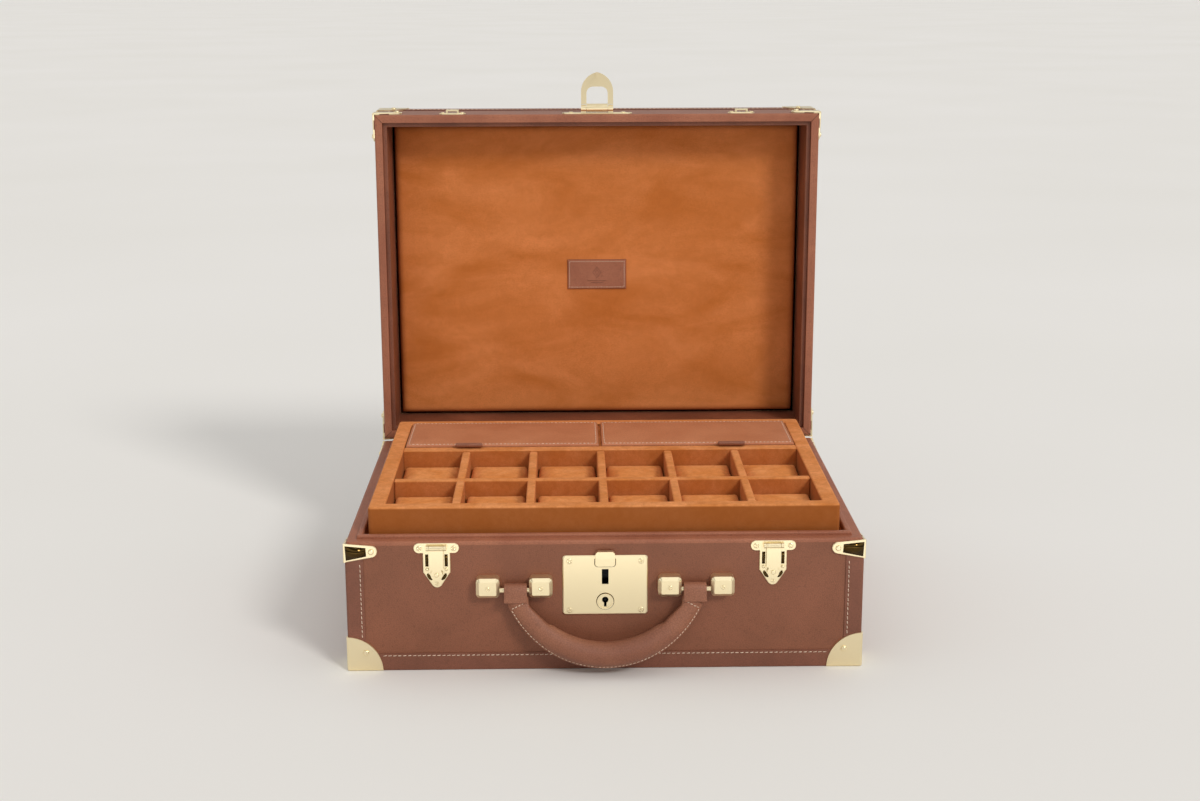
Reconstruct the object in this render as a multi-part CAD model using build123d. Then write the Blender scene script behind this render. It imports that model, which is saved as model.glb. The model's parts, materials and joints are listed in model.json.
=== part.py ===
from build123d import *
import os

# Leather jewellery case, standing open. Millimetres, +Z up, the front faces -Y.
# The origin is the centre of the base's underside. The lid is drawn shut and then turned open.

# Driving dimensions of the two halves
WIDTH, DEPTH = 400.0, 300.0     # outside of the leather edge bands
BASE_HEIGHT = 105.0
LID_HEIGHT = 62.0
RIM_GAP = 1.0                   # between the rims when the case is shut
BAND, BAND_WIDTH = 0.8, 14.0    # leather edge bands, laid on the panels
BAND_LIFT = 0.4                 # keeps the bands off the table
LEATHER = 1.2
WALL = 10.0                     # wooden walls of the base
LINING = 1.5
FLOOR = 6.0
FLOOR_PAD = 5.0
RIM_HEIGHT, RIM_ROLL = 3.0, 2.0
LIP_WIDTH, LIP_RISE = 4.7, 2.8  # inner lip that the lid drops over
LEDGE = 8.0                     # square strips that carry the tray
LEDGE_GAP = 0.4                 # between the strips and the tray
CORNER_ROUND, RIM_CORNER = 2.0, 2.5   # upright corners of the bands and of the rims

LID_WALL, LID_TOP = 8.5, 8.0
LID_LINING = 1.2
LID_PAD = 8.5
LID_RIM_WIDTH = 7.0
LID_REBATE = 3.6                # depth of the step that takes the base's lip
LABEL, LABEL_Z = (55.0, 28.0), 253.0   # leather label, and its height when the lid stands open

# Brass corners
CAP = 0.9
CAP_RADIUS = 28.0
TONGUE_LENGTH, TONGUE_RADIUS = 21.4, 4.7
TONGUE_LOW, TONGUE_HIGH = 89.0, 104.0
NAIL_RADIUS, NAIL_HEIGHT = 2.2, 1.5
CAP_EDGE, CAP_NAIL_Z = 1.5, 15.2

# Back hinges and the lid's axis
AXIS_BEHIND = 0.2               # lid axis behind the rear face
HINGE_X, HINGE_WIDTH = 115.0, 50.0
KNUCKLE, PIN, BORE = 2.0, 1.0, 1.05
LEAF, LEAF_HEIGHT = 1.2, 17.0
KNUCKLE_COUNT, KNUCKLE_GAP = 5, 0.4
LEAF_GAP = 1.4                  # from a knuckle to its screwed leaf
RECESS_SIDE, RECESS_REACH = 0.6, 3.1
HINGE_SCREW_X, HINGE_SCREW_Z = (-17.0, 0.0, 17.0), 14.0

# Side latches
LATCH_X = 129.5
LATCH_AXIS_Z, LATCH_STANDOFF = 100.6, 2.8
FLAP_WIDTH, FLAP_THICK, FLAP_GAP = 10.7, 1.0, 1.5
LATCH_KNUCKLE, LATCH_PIN = 1.9, 0.8
EAR_Z, EAR_LENGTH, EAR_HEIGHT = 99.8, 35.0, 8.0
SHIELD_WIDTH, SHIELD_HIGH, SHIELD_LOW = 21.0, 96.0, 80.0
SHIELD_TIP_Z, SHIELD_TIP = 72.4, 4.4
LEAF_TIP_Z, LEAF_TIP = 79.0, 4.6
EAR_SCREW_X, TIP_SCREW_Z = 13.3, 71.2
PLATE, PLATE_BEVEL = 1.0, 0.35  # thin brass plates on the leather

# Lock and lid hasp
LOCK_WIDTH, LOCK_LOW, LOCK_HIGH, LOCK_THICK = 65.8, 45.0, 93.0, 1.5
SLOT_WIDTH, SLOT_LOW, SLOT_HIGH = 5.2, 69.9, 82.5
KEY_Z, KEY_RISE = 55.9, 1.4       # keyhole's middle, and its round hole above that
KEY_RADIUS, KEY_SLOT, KEY_SLOT_LENGTH = 2.5, 2.0, 6.0
ESCUTCHEON, ESCUTCHEON_IN = 6.4, 5.2
MORTISE_HALF, MORTISE_DEPTH = 21.0, 8.6
CASE_WALL, CASE_GAP = 1.2, 0.6
BOLT_LOW, BOLT_HIGH, BOLT_HALF, BOLT_THICK = 81.0, 90.0, 3.0, 2.0
STEM_HALF, STEM_Z = 1.6, (85.0, 88.4)
STEM_HOLE = (84.0, 92.0)
THUMB_Z, THUMB_WIDTH, THUMB_HEIGHT, THUMB_THICK = 94.3, 15.0, 6.0, 4.2
SKIRT_Z, SKIRT_WIDTH, SKIRT_HEIGHT, SKIRT_THICK = 88.4, 15.4, 8.0, 0.9
SLIDE_GAP = 0.3                 # between the thumb slide and the lock plate
SPRING_TURNS, SPRING_HALF, SPRING_WIRE = 5, 2.5, 0.35
CAM_RADIUS, CAM_REACH, CAM_WIDTH, CAM_THICK = 2.8, 6.8, 2.4, 2.0
LOCK_SCREW_X, LOCK_SCREW_Z = 27.6, (88.5, 48.9)
HASP_AXIS_OUT, HASP_AXIS_UP = 5.2, 3.6   # from the lid's front panel and from its rim
HASP_LENGTH, HASP_HALF, HASP_THICK = 31.6, 14.3, 1.6
HASP_KNUCKLE, HASP_PIN = 3.0, 1.2
HASP_ARCH = 17.0                # height of the hasp's pointed end
WINDOW_HALF, WINDOW_SILL, WINDOW_ROUND = 9.5, 19.1, 6.0
BLADE_HALF, BLADE_DROP, BLADE_IN = 1.2, (31.0, 29.0), (3.9, 6.4)
HASP_PLATE_UP, HASP_PLATE_LENGTH, HASP_PLATE_HEIGHT, HASP_SCREW_X = 3.4, 63.0, 8.6, 23.5
KEEPER_Z, KEEPER_LENGTH, KEEPER_HEIGHT, KEEPER_SCREW_X = 113.0, 24.0, 9.0, 8.8
BRIDGE_HALF, BRIDGE_Z, BRIDGE_PROUD, BRIDGE_WALL = 5.65, (110.5, 116.5), 4.0, (1.45, 1.2)

# Handle
POST_X, POST_Z, POST_WIDTH, POST_HEIGHT, POST_PROUD = (49.6, 90.3), 69.8, 18.0, 15.5, 11.0
POST_ROUND, POST_BEVEL = 3.2, 2.4
ROD_Z, ROD_OUT, ROD_RADIUS, ROD_GRIP = 67.1, 5.8, 2.0, 6.0
LOOP_X, LOOP_WIDTH, LOOP_RADIUS = 69.0, 17.6, 5.3
TONGUE_DROP, TONGUE_HALF = 14.0, 3.2    # leather below a rod, and half its thickness
GRIP_DROP, GRIP_ARC = 50.1, 74.0        # lowest centre below the rods, and its arc's radius
GRIP_SIZES = ((40, 10.8), (48, 9.4), (55, 7.6), (62, 5.6))   # degrees from the middle, radius
CORE_RADIUS, CORE_HALF = 3.0, 44.0      # the steel core and the degrees that it spans
GRIP_LEAN = -11.0                       # degrees, resting against the front

# Lift-out tray
TRAY_X, TRAY_Y = 183.0, 133.0
TRAY_LOW, TRAY_HIGH, TRAY_FLOOR = 95.5, 127.5, 4.0
TRAY_IN_X, TRAY_FRONT_IN, TRAY_BACK_IN = 170.0, -122.0, 120.0
DIVIDER, DIVIDER_DROP = 7.0, 1.0
COLUMNS = 6
MID_DIVIDER = (-57.5, -50.0)
BACK_DIVIDER = (30.0, 42.0)
FLAP_LEDGE = 4.0
PAD_TOP, PAD_GAP, PAD_ROUND = 114.5, 0.4, 3.0
BED = 3.0                       # soft lining in the two covered bays
SPLIT = 3.0                     # half width of the bar between those bays
FRAME_CORNER, FRAME_EDGE = 3.0, 2.0
LID_FLAP, LID_FLAP_LOW, LID_FLAP_GAP = 3.0, 126.3, 0.6
PULL_X, PULL_WIDTH, PULL_RADIUS, PULL_REACH = 114.0, 23.0, 1.7, 4.8
PULL_LIFT, PULL_STRIP, PULL_TAIL = 0.5, 1.0, 5.0


def inset(distance):
    """Half width and half depth of the case, moved in by a distance."""
    return WIDTH / 2 - distance, DEPTH / 2 - distance


SHELL = inset(0)
PANEL = inset(BAND)
CORE = inset(BAND + LEATHER)
CORE_IN = inset(BAND + LEATHER + WALL)
CAVITY = inset(BAND + LEATHER + WALL + LINING)
LIP_OUT = (CAVITY[0] + LIP_WIDTH, CAVITY[1] + LIP_WIDTH)
LID_IN = inset(BAND + LEATHER + LID_WALL)
LID_CAVITY = inset(BAND + LEATHER + LID_WALL + LID_LINING)
LID_RIM_IN = inset(BAND + LID_RIM_WIDTH)
FRONT = -PANEL[1]
LID_LOW = BASE_HEIGHT + RIM_GAP
LID_HIGH = LID_LOW + LID_HEIGHT
LID_PANEL_TOP = LID_HIGH - BAND
LID_CEILING = LID_PANEL_TOP - LEATHER - LID_TOP
REBATE_Z = LID_LOW + LID_REBATE
LID_CORE_LOW = LID_LOW + RIM_HEIGHT + 2
AXIS_Y = DEPTH / 2 + AXIS_BEHIND
AXIS_Z = BASE_HEIGHT + RIM_GAP / 2
ROD_Y = FRONT - ROD_OUT
HASP_Y = FRONT - HASP_AXIS_OUT
HASP_Z = LID_LOW + HASP_AXIS_UP
LATCH_Y = FRONT - 1 - LATCH_STANDOFF
FLOOR_TOP = LEATHER + FLOOR + LINING
BOLT_Y = (-CORE[1] + 0.4, -CORE[1] + 0.4 + BOLT_THICK)
GRIP_HUB = Axis((0, ROD_Y, ROD_Z - GRIP_DROP + GRIP_ARC), (0, 1, 0))


def block(x, y, z):
    """Box from three (low, high) pairs."""
    spans = (x, y, z)
    size = [high - low for low, high in spans]
    return Pos(*[(low + high) / 2 for low, high in spans]) * Box(*size)


def slab(half, z):
    """Box centred on the origin's axis, from a (half width, half depth) pair."""
    return block((-half[0], half[0]), (-half[1], half[1]), z)


def ring(outer, inner, z):
    """Rectangular ring between two (half width, half depth) pairs."""
    return slab(outer, z) - slab(inner, z)


def rod(x, y, z, radius):
    """Round bar along X, from a (low, high) pair."""
    return Pos((x[0] + x[1]) / 2, y, z) * Rot(0, 90, 0) * Cylinder(radius, x[1] - x[0])


def stud(x, y, z, radius, height):
    """Round head with a domed top, standing out of a face that looks along -Y."""
    head = Cylinder(radius, height, align=(Align.CENTER, Align.CENTER, Align.MIN))
    head = fillet(head.edges().sort_by(Axis.Z)[-1], min(radius, height) * 0.7)
    return Pos(x, y, z) * Rot(90, 0, 0) * head


def on_front(sketch, back, thick):
    """Plate from a sketch in X and Z, its back at y = back, growing towards -Y."""
    return extrude(Plane((0, back, 0), x_dir=(1, 0, 0), z_dir=(0, -1, 0)) * sketch, thick)


def bevelled(plate, size):
    """Chamfer round the outer edge of a plate's front face."""
    return chamfer(plate.faces().sort_by(Axis.Y)[0].outer_wire().edges(), size)


def both_sides(shape):
    """The shape and its mirror image across the middle."""
    return Part() + [shape, mirror(shape, Plane.YZ)]


def four_corners(shape):
    """The shape at all four corners."""
    pair = both_sides(shape)
    return Part() + [pair, mirror(pair, Plane.XZ)]


def opened(shape):
    """Turn a lid piece from shut to open about the back hinges."""
    return shape.rotate(Axis((0, AXIS_Y, AXIS_Z), (1, 0, 0)), -90)


def rounded_upright(shape, half, radius):
    """Fillet the upright outer edges that stand at the corners of a (half width, half depth)."""
    edges = [e for e in shape.edges().filter_by(Axis.Z)
             if abs(abs(e.center().X) - half[0]) < 0.01 and abs(abs(e.center().Y) - half[1]) < 0.01]
    return fillet(edges, radius)


def rim_roll(shape, half, z, radius):
    """Fillet the level outer edges of a ring at height z."""
    edges = [e for e in shape.edges()
             if abs(e.center().Z - z) < 0.01
             and (abs(abs(e.center().X) - half[0]) < 0.3 or abs(abs(e.center().Y) - half[1]) < 0.3)]
    return fillet(edges, radius)


def corner_bands(z):
    """Four upright leather bands folded round the corners."""
    post = block((-SHELL[0], BAND_WIDTH - SHELL[0]), (-SHELL[1], BAND_WIDTH - SHELL[1]), z)
    return four_corners(post - slab(PANEL, z))


def corner_cap(z_outer, z_inner, up, bands):
    """Three-sided brass cap for the front left corner, growing up or down from z_outer."""
    corner = (-SHELL[0] - CAP, -SHELL[1] - CAP)
    reach = CAP_RADIUS + 2
    outer_z = sorted((z_outer, z_outer + up * reach))
    inner_z = sorted((z_inner, z_inner + up * reach))
    outer = block((corner[0], corner[0] + reach), (corner[1], corner[1] + reach), outer_z)
    tip = Vector(corner[0], corner[1], z_outer)
    edges = [e for e in outer.edges() if min((e @ 0 - tip).length, (e @ 1 - tip).length) < 0.01]
    outer = fillet(edges, CAP_EDGE)
    inner = block((-PANEL[0], 0), (-PANEL[1], 0), inner_z)
    ball = Pos(*tip) * Sphere(CAP_RADIUS)
    return ((outer - inner) & ball) - bands


def folded(shape):
    """A piece on the front face and its copy on the left face, folded round the corner."""
    corner = Plane((-SHELL[0] - CAP, -SHELL[1] - CAP, 0), z_dir=(1, -1, 0))
    return Part() + [shape, mirror(shape, corner)]


def rim_cap(low, high, bands):
    """Two brass tongues folded round the front left corner at the rim."""
    edge = -SHELL[0] - CAP
    strip = Pos(edge + 0.5, (low + high) / 2) * Rectangle(1, high - low)
    end = Pos(edge + TONGUE_LENGTH, (low + high) / 2 + 1) * Circle(TONGUE_RADIUS)
    tongue = on_front(make_hull(strip.edges() + end.edges()), FRONT, BAND + CAP)
    return folded(bevelled(tongue, 0.5)) - bands


def cap_nails(across, z):
    """Nail heads on both faces of every corner."""
    nail = stud(across - SHELL[0] - CAP, -SHELL[1] - CAP, z, NAIL_RADIUS, NAIL_HEIGHT)
    return four_corners(folded(nail))


def base_shell():
    """Wooden box of the base with its leather, rim, lip, lining and ledges."""
    bands = ring(SHELL, PANEL, (BAND_LIFT, BAND_WIDTH)) + corner_bands((BAND_LIFT, BASE_HEIGHT - RIM_ROLL))
    bands = rounded_upright(bands, SHELL, CORNER_ROUND)
    top = BASE_HEIGHT - RIM_HEIGHT
    cap = corner_cap(0, CAP, 1, bands)
    caps = four_corners(cap)
    leather_base = slab(PANEL, (0, LEATHER)) - caps
    sides = ring(PANEL, CORE, (LEATHER, top)) - hinge_recess()
    sides -= lock_opening(CORE[1] + LEATHER + 1, CORE[1] - 1)
    box = slab(CORE, (LEATHER, top)) - slab(CORE_IN, (LEATHER + FLOOR, top + 1))
    box = box - hinge_recess() - lock_mortise()
    rim = rounded_upright(ring(PANEL, LIP_OUT, (top, BASE_HEIGHT)), PANEL, RIM_CORNER)
    rim = rim_roll(rim, PANEL, BASE_HEIGHT, RIM_ROLL) - hinge_recess()
    lip = ring(LIP_OUT, CAVITY, (top, BASE_HEIGHT + LIP_RISE))
    lip = chamfer(lip.faces().sort_by(Axis.Z)[-1].edges(), 0.9)
    lining = ring(CORE_IN, CAVITY, (LEATHER + FLOOR, top)) + slab(CAVITY, (LEATHER + FLOOR, FLOOR_TOP))
    pad = slab((CAVITY[0] - 0.5, CAVITY[1] - 0.5), (FLOOR_TOP, FLOOR_TOP + FLOOR_PAD))
    ledge_top = TRAY_LOW - LEDGE_GAP
    inner = (CAVITY[0] - LEDGE, CAVITY[1] - LEDGE)
    ledge_z = (ledge_top - LEDGE, ledge_top)
    sides_ledge = both_sides(block((-CAVITY[0], -inner[0]), (-CAVITY[1], CAVITY[1]), ledge_z))
    front_ledge = block((-inner[0], inner[0]), (-CAVITY[1], -inner[1]), ledge_z)
    ledges = Part() + [sides_ledge, front_ledge, mirror(front_ledge, Plane.XZ)]
    return {
        "base_box": box, "base_bottom_leather": leather_base, "base_side_leather": sides,
        "base_edge_bands": bands - caps, "base_rim": rim, "base_lip": lip, "base_lining": lining,
        "base_floor_pad": fillet(pad.faces().sort_by(Axis.Z)[-1].edges(), 2),
        "tray_ledges": ledges, "base_corner_caps": caps,
        "base_rim_caps": four_corners(rim_cap(TONGUE_LOW, TONGUE_HIGH, bands)),
        "base_cap_nails": Part() + [cap_nails(BAND_WIDTH + CAP, CAP_NAIL_Z),
                                    cap_nails(TONGUE_LENGTH, (TONGUE_LOW + TONGUE_HIGH) / 2 + 1)],
    }


def hinge_recess():
    """Room for the hinge knuckles at the top of the rear wall, and at the lid's rear rim."""
    half = HINGE_WIDTH / 2 + RECESS_SIDE
    depth = (AXIS_Y - KNUCKLE - RECESS_SIDE, AXIS_Y + 1)
    return both_sides(block((-HINGE_X - half, -HINGE_X + half), depth,
                            (AXIS_Z - RECESS_REACH, AXIS_Z + RECESS_REACH)))


def hinges():
    """Two five-knuckle brass butt hinges: base leaves, lid leaves, pins and screws."""
    pitch = HINGE_WIDTH / KNUCKLE_COUNT
    back = PANEL[1]
    leaves = {True: [], False: []}
    for k in range(KNUCKLE_COUNT):
        low = -HINGE_X - HINGE_WIDTH / 2 + k * pitch + KNUCKLE_GAP / 2
        span = (low, low + pitch - KNUCKLE_GAP)
        on_base = k % 2 == 0
        web_z = (AXIS_Z - KNUCKLE - 2.5, AXIS_Z) if on_base else (AXIS_Z, AXIS_Z + KNUCKLE + 2.5)
        web = block(span, (back, back + LEAF), web_z)
        knuckle = rod(span, AXIS_Y, AXIS_Z, KNUCKLE) + web - rod(span, AXIS_Y, AXIS_Z, BORE)
        leaves[on_base].append(knuckle)
    x = (-HINGE_X - HINGE_WIDTH / 2, -HINGE_X + HINGE_WIDTH / 2)
    leaf_top = AXIS_Z - KNUCKLE - LEAF_GAP
    base_plate = block(x, (back, back + LEAF), (leaf_top - LEAF_HEIGHT, leaf_top))
    lid_plate = mirror(base_plate, Plane((0, 0, AXIS_Z), z_dir=(0, 0, 1)))
    pin = rod((x[0] - 0.6, x[1] + 0.6), AXIS_Y, AXIS_Z, PIN)
    screw = mirror(stud(0, -back - LEAF, 0, 2.3, 0.8), Plane.XZ)
    places = [(dx, AXIS_Z + turn * HINGE_SCREW_Z) for dx in HINGE_SCREW_X for turn in (-1, 1)]
    screws = {dz > AXIS_Z: [] for dx, dz in places}
    for dx, dz in places:
        screws[dz > AXIS_Z].append(Pos(dx - HINGE_X, 0, dz) * screw)
    return {
        "hinge_base_leaves": both_sides(Part() + [base_plate] + leaves[True]),
        "hinge_lid_leaves": opened(both_sides(Part() + [lid_plate] + leaves[False])),
        "hinge_pins": both_sides(pin),
        "base_screws": both_sides(Part() + screws[False]),
        "lid_screws": opened(both_sides(Part() + screws[True])),
    }


def latch(side):
    """One side latch: ogive plate with lugs, hinge pin and the flap that swings up."""
    x = side * LATCH_X
    ears = Pos(x, EAR_Z) * SlotOverall(EAR_LENGTH, EAR_HEIGHT)
    body = Pos(x, (SHIELD_HIGH + SHIELD_LOW) / 2) * Rectangle(SHIELD_WIDTH, SHIELD_HIGH - SHIELD_LOW)
    brow = Pos(x, SHIELD_LOW + 1) * Rectangle(SHIELD_WIDTH, 1)
    shield = make_hull(brow.edges() + (Pos(x, SHIELD_TIP_Z) * Circle(SHIELD_TIP)).edges())
    plate = bevelled(on_front(ears + body + shield, FRONT, PLATE), PLATE_BEVEL)
    half = FLAP_WIDTH / 2
    lug_in, lug_out = half + 0.4, half + 2.4
    lugs = []
    for turn in (-1, 1):
        span = sorted((x + turn * lug_in, x + turn * lug_out))
        lug_z = (LATCH_AXIS_Z - LATCH_KNUCKLE, LATCH_AXIS_Z + LATCH_KNUCKLE)
        lug = block(span, (LATCH_Y, FRONT - PLATE), lug_z)
        lug += rod(span, LATCH_Y, LATCH_AXIS_Z, LATCH_KNUCKLE)
        lugs.append(lug - rod(span, LATCH_Y, LATCH_AXIS_Z, LATCH_PIN))
        lugs.append(stud(x + turn * (lug_out - 0.35), FRONT - PLATE, 83, 1.3, 1.2))
    plate = Part() + [plate] + lugs
    back = FRONT - PLATE - FLAP_GAP
    shank = block((x - half, x + half), (back - FLAP_THICK, back), (LEAF_TIP_Z + 4, LATCH_AXIS_Z))
    leaf = Pos(x, LEAF_TIP_Z) * Circle(LEAF_TIP) + Pos(x, LEAF_TIP_Z + 2.5) * Rectangle(7.4, 4)
    flap = shank + on_front(leaf, back, FLAP_THICK) + stud(x, back - FLAP_THICK, LEAF_TIP_Z, 1.8, 0.9)
    flap += rod((x - half, x + half), LATCH_Y, LATCH_AXIS_Z, LATCH_KNUCKLE)
    flap -= rod((x - half, x + half), LATCH_Y, LATCH_AXIS_Z, LATCH_PIN + 0.05)
    pin = rod((x - lug_out, x + lug_out), LATCH_Y, LATCH_AXIS_Z, LATCH_PIN)
    return plate, flap, pin


def latches():
    """Left and right latches with their pins and screws."""
    left, left_flap, left_pin = latch(-1)
    right, right_flap, right_pin = latch(1)
    screws = [stud(dx - LATCH_X, FRONT - PLATE, EAR_Z, 2.1, 0.9) for dx in (-EAR_SCREW_X, EAR_SCREW_X)]
    low_screw = stud(-LATCH_X, FRONT - PLATE, TIP_SCREW_Z, 1.5, 0.5)
    return {
        "latch_plates": Part() + [left, right],
        "latch_flap_left": left_flap, "latch_flap_right": right_flap,
        "latch_pins": Part() + [left_pin, right_pin],
        "base_screws": both_sides(Part() + screws + [low_screw]),
    }


def key_profile():
    """Keyhole outline: a round hole with a slot below it."""
    slot = Pos(0, KEY_Z - 1.2) * Rectangle(KEY_SLOT, KEY_SLOT_LENGTH)
    return Pos(0, KEY_Z + KEY_RISE) * Circle(KEY_RADIUS) + slot


def lock_opening(outer, inner):
    """Openings behind the lock plate for the blade, the slide's stem and the key."""
    blade = block((-4, 4), (-outer, -inner), (SLOT_LOW - 2, LOCK_HIGH - 1))
    key = block((-3, 3), (-outer, -inner), (KEY_Z - 5, KEY_Z + 5))
    return blade + key


def lock_mortise():
    """Pocket in the front wall for the lock case."""
    return block((-MORTISE_HALF, MORTISE_HALF), (-CORE[1] - 1, -CORE[1] + MORTISE_DEPTH),
                 (LOCK_LOW + 3, LOCK_HIGH + 4))


def lock_slide():
    """Thumb slide on the plate, with its stem and the snap bolt behind."""
    back = FRONT - LOCK_THICK - SLIDE_GAP
    pad = on_front(Pos(0, THUMB_Z) * RectangleRounded(THUMB_WIDTH, THUMB_HEIGHT, 2.5), back, THUMB_THICK)
    skirt = on_front(Pos(0, SKIRT_Z) * RectangleRounded(SKIRT_WIDTH, SKIRT_HEIGHT, 2.4), back, SKIRT_THICK)
    stem = block((-STEM_HALF, STEM_HALF), (back, BOLT_Y[1]), STEM_Z)
    return pad + skirt + stem + block((-BOLT_HALF, BOLT_HALF), BOLT_Y, (BOLT_LOW, BOLT_HIGH))


def lock_spring():
    """Folded steel spring that presses the snap bolt down."""
    step = (LOCK_HIGH + 2.3 - BOLT_HIGH - 0.4) / SPRING_TURNS
    zigzag = Part()
    for k in range(SPRING_TURNS):
        z = BOLT_HIGH + 0.2 + k * step
        side = SPRING_HALF if k % 2 else -SPRING_HALF
        zigzag += block((-SPRING_HALF, SPRING_HALF), BOLT_Y, (z, z + SPRING_WIRE))
        zigzag += block(sorted((side, side * 0.84)), BOLT_Y, (z, z + step))
    return zigzag


def lock():
    """Lock plate, case, key fittings, thumb slide with its snap bolt, spring and cam."""
    face = FRONT - LOCK_THICK
    outline = Pos(0, (LOCK_LOW + LOCK_HIGH) / 2) * RectangleRounded(LOCK_WIDTH, LOCK_HIGH - LOCK_LOW, 2.5)
    plate = bevelled(on_front(outline, FRONT, LOCK_THICK), 0.8)
    slot = Rectangle(SLOT_WIDTH, SLOT_HIGH - SLOT_LOW)
    holes = Pos(0, (SLOT_LOW + SLOT_HIGH) / 2) * slot + key_profile()
    holes += Pos(0, sum(STEM_HOLE) / 2) * Rectangle(4, STEM_HOLE[1] - STEM_HOLE[0])
    plate -= on_front(holes, FRONT + 1, LOCK_THICK + 2)
    escutcheon = on_front(Pos(0, KEY_Z) * (Circle(ESCUTCHEON) - Circle(ESCUTCHEON_IN)), face, 1.1)
    escutcheon += on_front(Pos(0, KEY_Z) * Circle(ESCUTCHEON_IN) - key_profile(), face, 0.5)
    depth = CORE[1] - MORTISE_DEPTH + 0.1
    half, inner = MORTISE_HALF - CASE_GAP, MORTISE_HALF - CASE_GAP - CASE_WALL
    case = block((-half, half), (-CORE[1], -depth), (LOCK_LOW + 3.5, LOCK_HIGH + 3.5))
    case -= block((-inner, inner), (-CORE[1] - 1, -depth - CASE_WALL), (LOCK_LOW + 4.7, LOCK_HIGH + 2.3))
    key_centre = KEY_Z + KEY_RISE
    post = on_front(Pos(0, key_centre) * Circle(0.9), -depth - CASE_WALL, CORE[1] - depth + BAND + 1)
    lobe = Circle(CAM_RADIUS) + Pos(-CAM_REACH / 2, 0) * Rectangle(CAM_REACH, CAM_WIDTH) - Circle(0.95)
    cam = on_front(Pos(0, key_centre) * lobe, -depth - CASE_WALL - 0.2, CAM_THICK)
    screws = [stud(-LOCK_SCREW_X, face, z, 2.2, 0.7) for z in LOCK_SCREW_Z]
    return {
        "lock_plate": plate, "lock_case": case, "key_escutcheon": escutcheon, "key_post": post,
        "lock_slide": lock_slide(), "lock_spring": lock_spring(), "lock_cam": cam,
        "base_screws": both_sides(Part() + screws),
    }


def grip_section(angle, radius):
    """Round section of the grip, at an angle along its arc from the lowest point."""
    section = Plane((0, ROD_Y, ROD_Z - GRIP_DROP), z_dir=(1, 0, 0)) * Circle(radius)
    return section.rotate(GRIP_HUB, -angle)


def grip_bow(radius, half_angle):
    """Round bar bent along the grip's arc, centred on the lowest point."""
    return revolve(grip_section(0, radius), GRIP_HUB, 2 * half_angle).rotate(GRIP_HUB, -half_angle)


def handle():
    """Carrying handle: posts and rods on the front, leather loops, grip and its steel core."""
    posts, screws = [], []
    for x in POST_X:
        square = Pos(x, POST_Z) * RectangleRounded(POST_WIDTH, POST_HEIGHT, POST_ROUND)
        post = bevelled(on_front(square, FRONT, POST_PROUD), POST_BEVEL)
        posts.append(post - rod((x - POST_WIDTH, x + POST_WIDTH), ROD_Y, ROD_Z, ROD_RADIUS))
        screws.append(stud(x, FRONT - POST_PROUD, POST_Z, 1.7, 0.7))
    rods = rod((POST_X[0] - ROD_GRIP, POST_X[1] + ROD_GRIP), ROD_Y, ROD_Z, ROD_RADIUS)
    span = (LOOP_X - LOOP_WIDTH / 2, LOOP_X + LOOP_WIDTH / 2)
    tongue = block(span, (ROD_Y - TONGUE_HALF, ROD_Y + TONGUE_HALF), (ROD_Z - TONGUE_DROP, ROD_Z))
    loop = rod(span, ROD_Y, ROD_Z, LOOP_RADIUS) + tongue - rod(span, ROD_Y, ROD_Z, ROD_RADIUS + 0.06)
    loops = both_sides(loop)
    full_angle, full_radius = GRIP_SIZES[0]
    end = loft([grip_section(angle, radius) for angle, radius in GRIP_SIZES])
    grip = grip_bow(full_radius, full_angle) + both_sides(end)
    core = grip_bow(CORE_RADIUS, CORE_HALF)
    lean = Axis((0, ROD_Y, ROD_Z), (1, 0, 0))
    return {
        "handle_posts": both_sides(Part() + posts), "base_screws": both_sides(Part() + screws),
        "handle_rods": both_sides(rods),
        "handle_loops": loops.rotate(lean, GRIP_LEAN), "handle_core": core.rotate(lean, GRIP_LEAN),
        "handle_grip": (grip - core - loops).rotate(lean, GRIP_LEAN),
    }


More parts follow.
